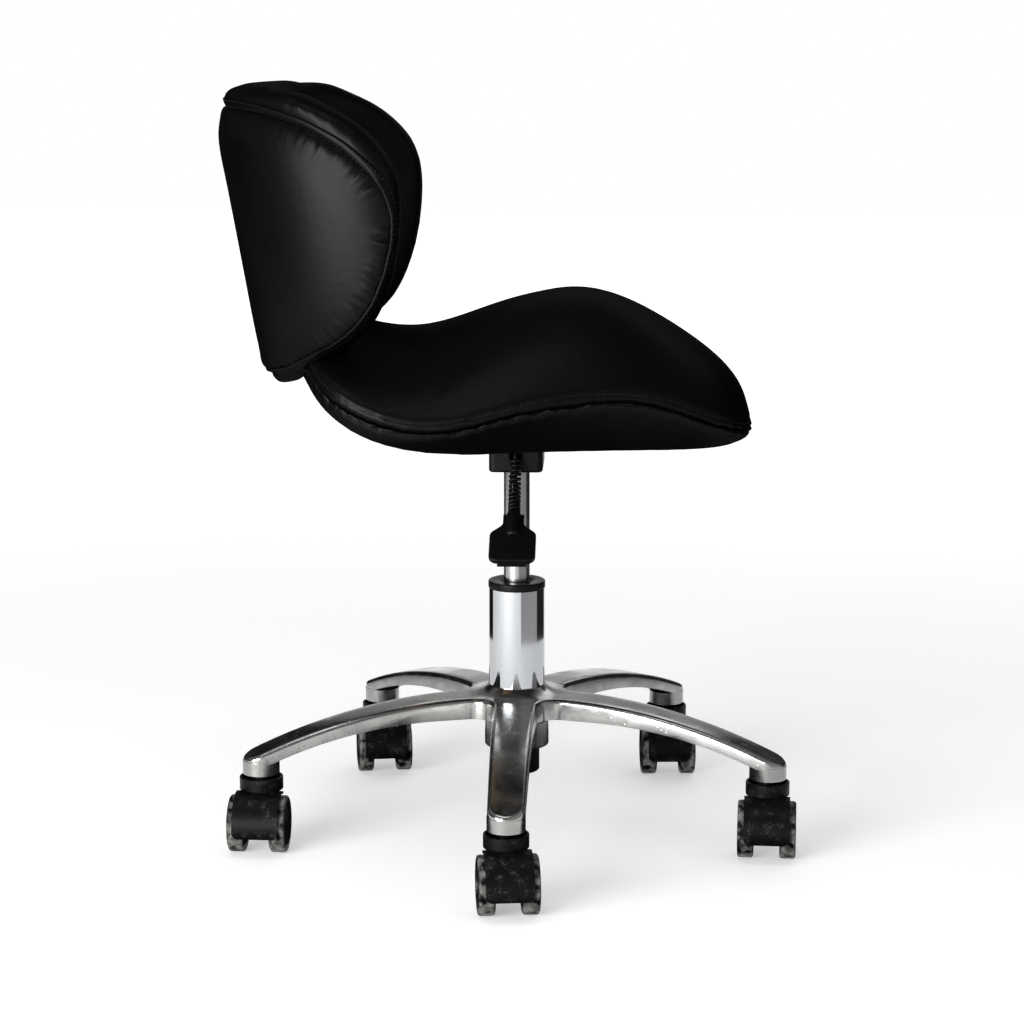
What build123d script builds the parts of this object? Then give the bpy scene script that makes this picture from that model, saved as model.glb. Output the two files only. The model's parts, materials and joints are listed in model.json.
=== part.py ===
from build123d import *
import os
from math import cos, degrees, radians, sin, sqrt, tan

# Saddle-seat work stool with a wrap-round back, on a gas lift and a five-star caster base.
# Millimetres. Origin on the floor under the column axis, +X the sitter's front, +Z up.

# Base casting
LEG_COUNT = 5
FIRST_LEG_ANGLE = -90.0
STEM_CIRCLE_R = 281.0
LEG_HALF_WIDTH_HUB = 24.0
BOSS_R = 19.0
BOSS_BOTTOM = 80.0
LEG_ROOT_FILLET = 22.0
LEG_EDGE_FILLET = 5.0
BOSS_WALL_HEIGHT = 14.0
BOSS_PROUD = 0.5
ARCH_OVERRUN = 3.0
HUB_BARREL_R = 34.5
HUB_BOTTOM = 91.0
HUB_TOP = 158.0
HUB_SHOULDER_R = 31.5
HUB_EDGE_FILLET = 1.5
HUB_LEG_FILLET = 9.0
LEG_TOP = 149.5
LEG_TOP_START_R = 55.0
ARCH_END_TOP = 96.0
LEG_UNDER = 127.5
LEG_UNDER_START_R = 97.0
LEG_WALL = 4.5
POCKETS_PER_LEG = 3
POCKET_START_R = 66.0
RIB_THICKNESS = 4.0

# Fits
PRESS_GAP = 0.03
RUN_GAP = 0.05
SEAT_GAP = 0.3
EDGE_MATCH = 0.1

# Gas lift
TUBE_R = 25.0
TUBE_TAPER = 0.5
TUBE_WALL = 1.5
TUBE_BOTTOM = 62.0
TUBE_TOP = 262.0
TUBE_FLOOR_Z = 66.0
TUBE_FLOOR = 3.0
SLEEVE_R = 30.0
SLEEVE_WALL = 1.5
COLLAR_R = 30.6
COLLAR_HEIGHT = 8.0
COLLAR_SKIRT = 16.0
COLLAR_BORE_GAP = 0.6
COLLAR_DISH = 5.0
COLLAR_EDGE = 1.5
SLEEVE_TOP = 264.0
BUSH_LENGTH = 60.0
BUSH_FLANGE = 2.0
ROD_R = 5.0
RACE_R = 18.0
RACE_THICKNESS = 2.5
BALL_R = 2.5
BALL_COUNT = 12
BALL_CIRCLE_R = 13.0
ROD_FLANGE_R = 9.0
ROD_FLANGE = 3.0
BUMPER_R = 13.0
BUMPER_HEIGHT = 11.0
CLIP_R = 9.0
CLIP_THICKNESS = 1.5
CYLINDER_R = 14.0
CYLINDER_WALL = 2.5
CYLINDER_GLAND = 10.0
CYLINDER_BOTTOM = 194.0
CYLINDER_TOP = 418.0
CYLINDER_TAPER = 0.6
PISTON_HEIGHT = 16.0
PISTON_GAP = 2.0
RELEASE_PIN_R = 3.5
RELEASE_PIN_PROUD = 4.2
RELEASE_PIN_LENGTH = 24.0

# Seat mechanism
DISH_WIDTH = 57.0
DISH_FRONT_Y = -34.0
DISH_BACK_Y = 40.0
DISH_BOTTOM = 394.0
DISH_WALL = 2.5
DISH_CORNER = 6.0
SOCKET_R = 17.0
SOCKET_TOP = 415.0
PLATE_LENGTH = 160.0
PLATE_WIDTH = 150.0
PLATE_THICKNESS = 3.0
PLATE_CORNER = 18.0
SEAT_BOLT_X = 60.0
SEAT_BOLT_Y = 55.0
BOLT_R = 4.0
BOLT_HEAD_R = 6.5
BOLT_HEAD = 5.0
TEE_BARREL_R = 5.2
TEE_FLANGE_R = 9.5
TEE_FLANGE = 1.4

# Release lever
PIVOT_Y = -24.0
PIVOT_Z = 418.0
PIVOT_PIN_R = 3.0
PIVOT_PIN_HEAD = 1.5
LEVER_BARREL_R = 5.5
LEVER_TONGUE_WIDTH = 14.0
LEVER_TONGUE = 4.2
LEVER_TONGUE_REACH = 28.0
LEVER_ROD_R = 2.4
LEVER_BEND_Y = -35.6
LEVER_BEND_R = 7.0
LEVER_BEND_TURN = 80.0
LEVER_SWEEP_R = 80.0
LEVER_SWEEP_TURN = 50.0
LEVER_PITCH = 5.2
LEVER_WIRE_R = 1.9
LEVER_COIL_R = 4.8
LEVER_SLOT_ROOM = 8.0
COIL_LEAD = 2.5
COIL_TURNS = 12
COIL_SAMPLES = 1200
COIL_STEP = 0.0005
PADDLE_LENGTH = 72.0
PADDLE_WIDTH = 48.0
PADDLE_NECK_WIDTH = 22.0
PADDLE_NECK_LENGTH = 16.0
PADDLE_THICKNESS = 6.0
PADDLE_BOSS_R = 8.0
PADDLE_BOSS_LENGTH = 34.0
PADDLE_CORNER = 9.0
PADDLE_EDGE = 1.6
PADDLE_SOCKET = 28.0
PADDLE_LIP = 5.0
PADDLE_LIP_DEPTH = 7.0

# Seat upholstery: station x, half width, seam height, crown height, underside half width and height
SEAT_STATIONS = [
    (-226, 92, 533, 562, 80, 512),
    (-203, 137, 511, 562, 126, 488),
    (-178, 168, 489, 557, 158, 468),
    (-140, 184, 471, 547, 172, 449),
    (-90, 188, 460.5, 548, 168, 437),
    (-35, 184, 467, 566, 140, 430),
    (30, 171, 481.5, 584.5, 122, 430),
    (90, 157, 487.5, 585, 112, 430),
    (150, 142, 480.5, 559.5, 105, 430),
    (200, 122, 461.5, 526.5, 90, 430),
    (230, 95, 450, 497.5, 66, 433),
    (243, 62, 444, 473.5, 38, 437),
    (247.5, 30, 443, 458, 18, 440),
]
BRIM_RISE = 24.0
BRIM_INSET = 6.0
BRIM_SWELL = 4.0
BRIM_SHARE = 0.34
HULL_SWELL = 5.0

# Seat pan of bent plywood
PAN_BOTTOM = 430.0
PAN_THICKNESS = 12.0
PAN_FRONT_X = 188.0
PAN_BEND_X = -82.0
PAN_REAR_X = -192.0
PAN_UPTURN = 27.5
PAN_WIDTH = 176.0
PAN_CORNER = 42.0
PAN_BEND_R = 40.0
COVER_THICKNESS = 1.0
COVER_FRONT_X = 196.0
COVER_REAR_X = -40.0
COVER_WIDTH = 172.0
COVER_GAP = 1.0

# Back upholstery: height, reach of the pad and of the panel round the curve in degrees, pad
# thickness, panel thickness, and how far the outer face is drawn in
BACK_STATIONS = [
    (486, 7, 0, 12, 0, 12),
    (494, 14, 0, 34, 0, 9),
    (503, 22, 12, 40, 6, 2.5),
    (515, 32, 24, 41, 14, 0),
    (535, 48.2, 41.5, 41, 19.5, 0),
    (560, 62.2, 59, 42, 22, 0),
    (592, 71.7, 70, 42, 22, 0),
    (624, 77.7, 76.2, 42, 22, 0),
    (660, 82.2, 80.7, 42, 22, 0),
    (700, 84.9, 82, 42, 22, 0),
    (735, 82.7, 75, 41, 21, 0),
    (758, 76.2, 64, 42, 17.5, 3),
    (770, 70.5, 54, 44, 12, 6.5),
    (778, 64.8, 40, 47, 6, 10),
    (784, 60, 0, 48, 0, 15),
    (795, 48, 0, 31, 0, 27),
    (799.5, 37, 0, 14, 0, 38),
]
BACK_SEAM_GAP = 0.6
BACK_OUTER_R = 197.0
BACK_OUTER_X = -311.0
BACK_OUTER_Z = 741.0
BACK_LEAN = 10.1
BACK_TIP_SWELL = 0.26
PANEL_SHOULDER = 0.12
PANEL_SHOULDER_AT = 0.6
PANEL_EDGE = 0.14
PANEL_ROOT = 8.0
BACK_ROOM = 0.6
BACK_ROOM_TURN = 0.3
SHELL_THICKNESS = 10.0
SHELL_PANEL_DEPTH = 22.0
SHELL_BOTTOM = 568.0
SHELL_TOP = 752.0
SHELL_REACH = 48.0
STRAP_WIDTH = 56.0
STRAP_THICKNESS = 5.0
STRAP_FRONT_X = -112.0
STRAP_TOP = 650.0
STRAP_BEND_R = 30.0
BACK_BOLT_R = 3.0
BACK_BOLT_HEAD_R = 5.5
BACK_BOLT_HEAD = 3.5
BACK_BOLT_GRIP = 0.8
BACK_BOLT_Z = (592.0, 632.0)
PAN_BOLT_X = (-132.0, -168.0)

# Twin-wheel casters
CASTER_YAW = (7.0, -3.5, 4.0, 9.5, -2.0)
WHEEL_R = 30.0
WHEEL_WIDTH = 17.0
WHEEL_GAP = 27.0
WHEEL_EDGE = 3.0
WHEEL_DISH_R = 22.0
WHEEL_DISH = 2.0
WHEEL_HUB_R = 9.0
CASTER_TRAIL = 20.0
AXLE_R = 3.0
AXLE_LENGTH = 52.0
HOOD_WIDTH = 48.0
HOOD_GAP = 1.6
HOOD_WALL = 2.6
HOOD_START = -28.0
HOOD_END = 104.0
HOOD_CORNER = 7.0
WEB_WIDTH = 24.0
WEB_AXLE_R = 12.0
CUP_R = 23.0
CUP_BOTTOM = 62.5
CUP_TOP = 76.5
CUP_RIM = 2.2
CUP_DEPTH = 9.0
CUP_EDGE = 1.0
STEM_R = 5.5
STEM_BOTTOM = 48.0
STEM_SOCKET_DEPTH = 21.0
STEM_BOSS_R = 10.0
STEM_SHOULDER_R = 8.5
STEM_SHOULDER = 3.0
STEM_CHAMFER = 1.0
GRIP_RING_R = 0.9

os.makedirs("parts", exist_ok=True)


def save(solid, node):
    export_step(solid, f"parts/{node}.step")


def tube(outer_r, inner_r, bottom, top):
    """Round tube or washer on the column axis."""
    return Pos(0, 0, bottom) * extrude(Circle(outer_r) - Circle(inner_r), top - bottom)


def rod(radius, bottom, top):
    """Round bar on the column axis."""
    return Pos(0, 0, bottom) * extrude(Circle(radius), top - bottom)


def turned(points):
    """Solid turned about the column axis from an outline of radius and height."""
    return revolve(Plane.XZ * make_face(Polyline(*points, close=True)), Axis.Z)


def bent_strip(points, bend_r, width, thickness):
    """Flat strip of wood or steel bent along a side-view line in the XZ plane."""
    path = FilletPolyline(*[(x, 0, z) for x, z in points], radius=bend_r)
    start = Plane(path @ 0, x_dir=(0, 1, 0), z_dir=path % 0)
    return sweep(start * Rectangle(width, thickness), path)


# Five-star base casting
LEG_ANGLES = [FIRST_LEG_ANGLE + 360.0 / LEG_COUNT * index for index in range(LEG_COUNT)]
ARCH_END_R = STEM_CIRCLE_R + BOSS_R + ARCH_OVERRUN


def leg_top(radius):
    """Height of the arched upper face of a leg at a distance from the axis."""
    run = ARCH_END_R - LEG_TOP_START_R
    fall = LEG_TOP - ARCH_END_TOP
    arch_r = (run**2 + fall**2) / (2 * fall)
    return LEG_TOP - arch_r + sqrt(arch_r**2 - (radius - LEG_TOP_START_R) ** 2)


def leg_plan(shrink=0.0):
    hub_end = Circle(LEG_HALF_WIDTH_HUB - shrink)
    boss_end = Pos(STEM_CIRCLE_R, 0) * Circle(BOSS_R - shrink)
    return make_hull([*hub_end.edges(), *boss_end.edges()])


def base_profile():
    """Radius-height outline of the hub and the arched legs."""
    shoulder = (LEG_TOP_START_R, LEG_TOP)
    rim = (HUB_SHOULDER_R, HUB_TOP)
    under_tip = (ARCH_END_R, BOSS_BOTTOM)
    top_tip = (ARCH_END_R, ARCH_END_TOP)
    barrel = FilletPolyline(
        (0, HUB_BOTTOM),
        (HUB_BARREL_R, HUB_BOTTOM),
        (HUB_BARREL_R, LEG_UNDER),
        (LEG_UNDER_START_R, LEG_UNDER),
        radius=[HUB_EDGE_FILLET, HUB_LEG_FILLET],
    )
    under = TangentArc((LEG_UNDER_START_R, LEG_UNDER), under_tip, tangent=(1, 0))
    arch = TangentArc(shoulder, top_tip, tangent=(1, 0))
    flare = TangentArc(shoulder, rim, tangent=(-1, 0))
    lid = Polyline(rim, (0, HUB_TOP), (0, HUB_BOTTOM))
    return make_face([*barrel.edges(), under, Line(under_tip, top_tip), arch, flare, *lid.edges()])


def pocket_core():
    """Space under the legs' upper wall, from the floor up."""
    shoulder = (LEG_TOP_START_R, LEG_TOP - LEG_WALL)
    tip = (ARCH_END_R, ARCH_END_TOP - LEG_WALL)
    arch = TangentArc(shoulder, tip, tangent=(1, 0))
    frame = Polyline(tip, (ARCH_END_R, 0), (0, 0), (0, LEG_TOP - LEG_WALL), shoulder)
    return revolve(Plane.XZ * make_face([arch, *frame.edges()]), Axis.Z)


def on_leg_rim(edge):
    middle = edge @ 0.5
    radius = Vector(middle.X, middle.Y).length
    return radius > LEG_TOP_START_R and abs(middle.Z - leg_top(radius)) < EDGE_MATCH


def make_base():
    star = Sketch() + [Rot(0, 0, angle) * leg_plan() for angle in LEG_ANGLES]
    roots = [v for v in star.vertices() if Vector(v.X, v.Y).length < 2 * LEG_HALF_WIDTH_HUB]
    star = fillet(roots, LEG_ROOT_FILLET)
    casting = extrude(star, HUB_TOP) & revolve(Plane.XZ * base_profile(), Axis.Z)
    casting = fillet([e for e in casting.edges() if on_leg_rim(e)], LEG_EDGE_FILLET)
    core = pocket_core()
    pocket_end = STEM_CIRCLE_R - BOSS_R - BOSS_PROUD
    pitch = (pocket_end - POCKET_START_R + RIB_THICKNESS) / POCKETS_PER_LEG
    length = pitch - RIB_THICKNESS
    leg_core = leg_plan(LEG_WALL)
    boss = Pos(STEM_CIRCLE_R, 0, BOSS_BOTTOM) * extrude(Circle(BOSS_R + BOSS_PROUD), BOSS_WALL_HEIGHT)
    socket = Pos(STEM_CIRCLE_R, 0, BOSS_BOTTOM) * extrude(Circle(STEM_R + RUN_GAP), STEM_SOCKET_DEPTH)
    for angle in LEG_ANGLES:
        turn = Rot(0, 0, angle)
        casting = casting + turn * boss
        casting = casting - turn * socket
        for index in range(POCKETS_PER_LEG):
            middle = POCKET_START_R + index * pitch + length / 2
            outline = leg_core & (Pos(middle, 0) * Rectangle(length, 4 * BOSS_R))
            casting = casting - turn * (extrude(outline, HUB_TOP) & core)
    bore = turned([
        (0, HUB_BOTTOM),
        (tube_radius(HUB_BOTTOM) + PRESS_GAP, HUB_BOTTOM),
        (tube_radius(HUB_TOP) + PRESS_GAP, HUB_TOP),
        (0, HUB_TOP),
    ])
    return casting - bore


# Gas lift
def tube_radius(height):
    """Outer radius of the pressure tube, which narrows where it wedges into the hub."""
    share = (HUB_TOP - height) / (HUB_TOP - HUB_BOTTOM)
    return TUBE_R - TUBE_TAPER * min(1.0, max(0.0, share))


def make_pressure_tube():
    low_r = tube_radius(HUB_BOTTOM)
    body = turned([
        (0, TUBE_BOTTOM),
        (low_r, TUBE_BOTTOM),
        (low_r, HUB_BOTTOM),
        (TUBE_R, HUB_TOP),
        (TUBE_R, TUBE_TOP),
        (0, TUBE_TOP),
    ])
    lower_edge = body.edges().filter_by(GeomType.CIRCLE).sort_by(Axis.Z)[0]
    body = chamfer(lower_edge, TUBE_WALL)
    inner_r = TUBE_R - TUBE_TAPER - TUBE_WALL
    body = body - rod(inner_r, TUBE_FLOOR_Z + TUBE_FLOOR, TUBE_TOP)
    body = body - rod(inner_r - TUBE_WALL, TUBE_BOTTOM, TUBE_FLOOR_Z)
    return body - rod(ROD_R + RUN_GAP, TUBE_FLOOR_Z, TUBE_FLOOR_Z + TUBE_FLOOR)


def make_collar():
    """Moulded cap on the cover sleeve: a skirt inside the sleeve and a rounded rim on top."""
    bore_r = CYLINDER_R + COLLAR_BORE_GAP
    outline = Polyline(
        (bore_r, SLEEVE_TOP),
        (TUBE_R + SEAT_GAP, SLEEVE_TOP),
        (TUBE_R + SEAT_GAP, SLEEVE_TOP - COLLAR_SKIRT),
        (SLEEVE_R - SLEEVE_WALL - SEAT_GAP, SLEEVE_TOP - COLLAR_SKIRT),
        (SLEEVE_R - SLEEVE_WALL - SEAT_GAP, SLEEVE_TOP),
        (COLLAR_R, SLEEVE_TOP),
        (COLLAR_R, SLEEVE_TOP + COLLAR_HEIGHT),
        (bore_r + COLLAR_DISH, SLEEVE_TOP + COLLAR_HEIGHT),
        (bore_r, SLEEVE_TOP + COLLAR_HEIGHT - COLLAR_DISH / 2),
        close=True,
    )
    collar = revolve(Plane.XZ * make_face(outline), Axis.Z)
    rim = [e for e in collar.edges() if abs(e.bounding_box().max.X - COLLAR_R) < EDGE_MATCH]
    return fillet(rim, COLLAR_EDGE)


def make_gas_lift():
    bush_r = TUBE_R - TUBE_TAPER - TUBE_WALL - PRESS_GAP
    bush = tube(bush_r, CYLINDER_R + RUN_GAP, TUBE_TOP - BUSH_LENGTH, TUBE_TOP)
    bush = bush + tube(TUBE_R, CYLINDER_R + RUN_GAP, TUBE_TOP, TUBE_TOP + BUSH_FLANGE)
    clip_z = TUBE_FLOOR_Z - SEAT_GAP
    race_z = TUBE_FLOOR_Z + TUBE_FLOOR
    balls_z = race_z + RACE_THICKNESS + BALL_R
    upper_race_z = balls_z + BALL_R
    flange_z = upper_race_z + RACE_THICKNESS
    bumper_z = flange_z + ROD_FLANGE
    piston_z = CYLINDER_BOTTOM + CYLINDER_GLAND + PISTON_GAP
    balls = Compound(children=[
        Rot(0, 0, 360 / BALL_COUNT * index) * Pos(BALL_CIRCLE_R, 0, balls_z) * Sphere(BALL_R)
        for index in range(BALL_COUNT)
    ])
    spindle = rod(ROD_R, TUBE_FLOOR_Z - 2 * CLIP_THICKNESS, piston_z)
    spindle = spindle + rod(ROD_FLANGE_R, flange_z, bumper_z)
    piston = rod(CYLINDER_R - CYLINDER_WALL - RUN_GAP, piston_z, piston_z + PISTON_HEIGHT)
    cylinder = turned([
        (0, CYLINDER_BOTTOM),
        (CYLINDER_R, CYLINDER_BOTTOM),
        (CYLINDER_R, DISH_BOTTOM),
        (cylinder_top_r(CYLINDER_TOP), CYLINDER_TOP),
        (0, CYLINDER_TOP),
    ])
    bore_top = CYLINDER_TOP - RELEASE_PIN_LENGTH
    cylinder = cylinder - rod(CYLINDER_R - CYLINDER_WALL, CYLINDER_BOTTOM + CYLINDER_GLAND, bore_top)
    cylinder = cylinder - rod(ROD_R + RUN_GAP, CYLINDER_BOTTOM, CYLINDER_BOTTOM + CYLINDER_GLAND)
    cylinder = cylinder - rod(RELEASE_PIN_R + RUN_GAP, bore_top, CYLINDER_TOP)
    pin_top = CYLINDER_TOP + RELEASE_PIN_PROUD
    pin = rod(RELEASE_PIN_R, bore_top, pin_top)
    pin = fillet(pin.edges().filter_by(GeomType.CIRCLE).sort_by(Axis.Z)[-1], RELEASE_PIN_R / 2)
    return {
        "pressure_tube": make_pressure_tube(),
        "cover_sleeve": tube(SLEEVE_R, SLEEVE_R - SLEEVE_WALL, HUB_TOP, SLEEVE_TOP),
        "sleeve_collar": make_collar(),
        "guide_bush": bush,
        "bearing_race_lower": tube(RACE_R, ROD_R + SEAT_GAP, race_z, race_z + RACE_THICKNESS),
        "bearing_balls": balls,
        "bearing_race_upper": tube(RACE_R, ROD_R + PRESS_GAP, upper_race_z, flange_z),
        "swivel_rod": spindle,
        "rod_clip": tube(CLIP_R, ROD_R + PRESS_GAP, clip_z - CLIP_THICKNESS, clip_z),
        "bump_stop": tube(BUMPER_R, ROD_R + PRESS_GAP, bumper_z, bumper_z + BUMPER_HEIGHT),
        "piston": piston,
        "lift_cylinder": cylinder,
        "release_pin": pin,
    }


def cylinder_top_r(height):
    """Outer radius of the cylinder's upper taper, which wedges into the seat mechanism."""
    share = (height - DISH_BOTTOM) / (CYLINDER_TOP - DISH_BOTTOM)
    return CYLINDER_R - CYLINDER_TAPER * max(0.0, share)


# Seat mechanism and release lever
def make_mechanism():
    """Pressed dish with a taper socket and a bolted top flange."""
    depth = DISH_BACK_Y - DISH_FRONT_Y
    middle_y = (DISH_BACK_Y + DISH_FRONT_Y) / 2
    height = PAN_BOTTOM - PLATE_THICKNESS - DISH_BOTTOM
    low = (Align.CENTER, Align.CENTER, Align.MIN)
    dish = Pos(0, middle_y, DISH_BOTTOM) * Box(DISH_WIDTH, depth, height, align=low)
    dish = fillet(dish.edges().filter_by(Axis.Z), DISH_CORNER)
    dish = fillet(dish.faces().sort_by(Axis.Z)[0].edges(), DISH_CORNER / 2)
    flange = Pos(0, 0, PAN_BOTTOM - PLATE_THICKNESS) * extrude(
        RectangleRounded(PLATE_LENGTH, PLATE_WIDTH, PLATE_CORNER), PLATE_THICKNESS
    )
    inside = Pos(0, middle_y, DISH_BOTTOM + DISH_WALL) * Box(
        DISH_WIDTH - 2 * DISH_WALL, depth - 2 * DISH_WALL, PAN_BOTTOM - DISH_BOTTOM, align=low
    )
    inside = fillet(inside.edges().filter_by(Axis.Z), DISH_CORNER - DISH_WALL)
    plate = dish + flange - inside
    plate = plate + rod(SOCKET_R, DISH_BOTTOM, SOCKET_TOP)
    plate = plate - turned([
        (0, DISH_BOTTOM),
        (cylinder_top_r(DISH_BOTTOM) + PRESS_GAP, DISH_BOTTOM),
        (cylinder_top_r(SOCKET_TOP) + PRESS_GAP, SOCKET_TOP),
        (0, SOCKET_TOP),
    ])
    slot_height = 2 * LEVER_BARREL_R + LEVER_SLOT_ROOM
    slot = Pos(0, DISH_FRONT_Y, PIVOT_Z - slot_height / 2) * Box(
        LEVER_TONGUE_WIDTH, 4 * DISH_WALL, slot_height, align=low
    )
    pin_hole = Pos(0, PIVOT_Y, PIVOT_Z) * Rot(0, 90, 0) * Cylinder(PIVOT_PIN_R + PRESS_GAP, 2 * DISH_WIDTH)
    plate = plate - slot - pin_hole
    for x, y in bolt_spots():
        plate = plate - Pos(x, y, 0) * rod(BOLT_R + SEAT_GAP, PAN_BOTTOM - PLATE_THICKNESS, PAN_BOTTOM)
    return plate


def bolt_spots():
    return [(x, y) for x in (-SEAT_BOLT_X, SEAT_BOLT_X) for y in (-SEAT_BOLT_Y, SEAT_BOLT_Y)]


def seat_bolt():
    head_z = PAN_BOTTOM - PLATE_THICKNESS - BOLT_HEAD
    head = Pos(0, 0, head_z) * extrude(RegularPolygon(BOLT_HEAD_R, 6), BOLT_HEAD)
    return head + rod(BOLT_R, PAN_BOTTOM - PLATE_THICKNESS, PAN_BOTTOM + PAN_THICKNESS)


def tee_nut():
    top = PAN_BOTTOM + PAN_THICKNESS
    nut = tube(TEE_BARREL_R, BOLT_R + PRESS_GAP, PAN_BOTTOM + PLATE_THICKNESS, top)
    return nut + tube(TEE_FLANGE_R, BOLT_R + PRESS_GAP, top, top + TEE_FLANGE)


def heading(angle):
    """Unit direction in the lever's plane, an angle below level and away from the column."""
    return Vector(0, -cos(radians(angle)), -sin(radians(angle)))


LEVER_END_TURN = LEVER_BEND_TURN - LEVER_SWEEP_TURN
BEND_START = Vector(0, LEVER_BEND_Y, PIVOT_Z)
BEND_END = BEND_START + Vector(
    0,
    -LEVER_BEND_R * sin(radians(LEVER_BEND_TURN)),
    -LEVER_BEND_R * (1 - cos(radians(LEVER_BEND_TURN))),
)


def sweep_point(angle):
    """Point of the lever's long bend where its heading is this far below level."""
    return BEND_END + LEVER_SWEEP_R * Vector(
        0,
        -(sin(radians(LEVER_BEND_TURN)) - sin(radians(angle))),
        -(cos(radians(angle)) - cos(radians(LEVER_BEND_TURN))),
    )


SWEEP_END = sweep_point(LEVER_END_TURN)


def make_lever_rod():
    barrel = Pos(0, PIVOT_Y, PIVOT_Z) * Rot(0, 90, 0) * Cylinder(LEVER_BARREL_R, LEVER_TONGUE_WIDTH)
    tongue_z = CYLINDER_TOP + RELEASE_PIN_PROUD + SEAT_GAP
    tongue = Pos(0, PIVOT_Y, tongue_z) * Box(
        LEVER_TONGUE_WIDTH, LEVER_TONGUE_REACH, LEVER_TONGUE, align=(Align.CENTER, Align.MIN, Align.MIN)
    )
    path = Wire([
        Line((0, PIVOT_Y, PIVOT_Z), BEND_START),
        TangentArc(BEND_START, BEND_END, tangent=(0, -1, 0)),
        TangentArc(BEND_END, SWEEP_END, tangent=heading(LEVER_BEND_TURN)),
        Line(SWEEP_END, SWEEP_END + heading(LEVER_END_TURN) * PADDLE_SOCKET),
    ])
    arm = sweep(Plane(path @ 0, z_dir=path % 0) * Circle(LEVER_ROD_R), path)
    bore = Pos(0, PIVOT_Y, PIVOT_Z) * Rot(0, 90, 0) * Cylinder(PIVOT_PIN_R + RUN_GAP, 2 * LEVER_TONGUE_WIDTH)
    return barrel + tongue + arm - bore


def coil_point(turns):
    """Point of the coil's wire after a number of turns along the lever's long bend."""
    angle = LEVER_BEND_TURN - degrees((COIL_LEAD + turns * LEVER_PITCH) / LEVER_SWEEP_R)
    across = Vector(1, 0, 0)
    outward = heading(angle).cross(across)
    swing = radians(360 * turns)
    return sweep_point(angle) + LEVER_COIL_R * (cos(swing) * across + sin(swing) * outward)


def coil_tangent(turns):
    return (coil_point(turns + COIL_STEP) - coil_point(turns - COIL_STEP)).normalized()


def biarc(start, start_dir, end, end_dir):
    """Two arcs that join two points with the given directions, tangent where they meet."""
    chord = end - start
    both = start_dir + end_dir
    spread = 2 * (1 - start_dir.dot(end_dir))
    along = chord.dot(both)
    reach = (sqrt(along**2 + spread * chord.dot(chord)) - along) / spread
    first = start + start_dir * reach
    second = end - end_dir * reach
    joint = (first + second) * 0.5
    middle_dir = (second - first).normalized()
    return [TangentArc(start, joint, tangent=start_dir), TangentArc(joint, end, tangent=middle_dir)]


def make_lever_spring():
    """One unbroken wire: a straight tail, its turns as half-turn biarcs, and a straight tail."""
    marks = [index / 2 for index in range(2 * COIL_TURNS + 1)]
    first, last = coil_point(marks[0]), coil_point(marks[-1])
    tail = 2 * LEVER_WIRE_R
    edges = [Line(first - coil_tangent(marks[0]) * tail, first)]
    for a, b in zip(marks, marks[1:]):
        edges += biarc(coil_point(a), coil_tangent(a), coil_point(b), coil_tangent(b))
    edges.append(Line(last, last + coil_tangent(marks[-1]) * tail))
    wire = Wire(edges)
    points = [wire @ (index / COIL_SAMPLES) for index in range(COIL_SAMPLES + 1)]
    apart = COIL_SAMPLES // (2 * COIL_TURNS)
    gap = min(
        (points[i] - points[j]).length - 2 * LEVER_WIRE_R
        for i in range(len(points))
        for j in range(i + apart, min(i + 4 * apart, len(points)))
    )
    print(f"lever coil: {COIL_TURNS} turns, least gap to itself {gap:.2f} mm")
    return sweep(Plane(wire @ 0, z_dir=wire % 0) * Circle(LEVER_WIRE_R), wire)


def make_paddle():
    """Moulded finger paddle with a flared outline and a socket for the lever rod."""
    half_neck, half_width = PADDLE_NECK_WIDTH / 2, PADDLE_WIDTH / 2
    flare_end = PADDLE_NECK_LENGTH + half_width - half_neck
    outline = make_face(Polyline(
        (0, -half_neck),
        (PADDLE_NECK_LENGTH, -half_neck),
        (flare_end, -half_width),
        (PADDLE_LENGTH, -half_width),
        (PADDLE_LENGTH, half_width),
        (flare_end, half_width),
        (PADDLE_NECK_LENGTH, half_neck),
        (0, half_neck),
        close=True,
    ))
    corners = [v for v in outline.vertices() if v.X > PADDLE_NECK_LENGTH / 2]
    outline = fillet(corners, PADDLE_CORNER)
    blade = extrude(outline, PADDLE_THICKNESS / 2, both=True)
    blade = fillet(blade.edges().filter_by(Plane.XY), PADDLE_EDGE)
    from_start = (Align.CENTER, Align.CENTER, Align.MIN)
    boss = Rot(0, 90, 0) * Cylinder(PADDLE_BOSS_R, PADDLE_BOSS_LENGTH, align=from_start)
    boss = fillet(boss.edges().filter_by(GeomType.CIRCLE).sort_by(Axis.X)[-1], PADDLE_BOSS_R / 2)
    lip_width = PADDLE_WIDTH - 2 * PADDLE_CORNER
    lip = Pos(PADDLE_LENGTH - PADDLE_LIP, 0, 0) * Box(
        PADDLE_LIP, lip_width, PADDLE_LIP_DEPTH, align=(Align.MIN, Align.CENTER, Align.MAX)
    )
    lip = fillet(lip.edges().filter_by(Axis.Y), PADDLE_EDGE)
    socket = Rot(0, 90, 0) * Cylinder(LEVER_ROD_R + PRESS_GAP, PADDLE_SOCKET, align=from_start)
    paddle = blade + boss + lip - socket
    along = heading(LEVER_END_TURN)
    place = Plane(SWEEP_END, x_dir=along, z_dir=along.cross(Vector(1, 0, 0)))
    return place.location * paddle


# Seat: bent plywood pan, lower body and saddle cushion, with the seam between the two
def seat_plane(x):
    return Plane((x, 0, 0), x_dir=(0, 1, 0), z_dir=(1, 0, 0))


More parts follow.
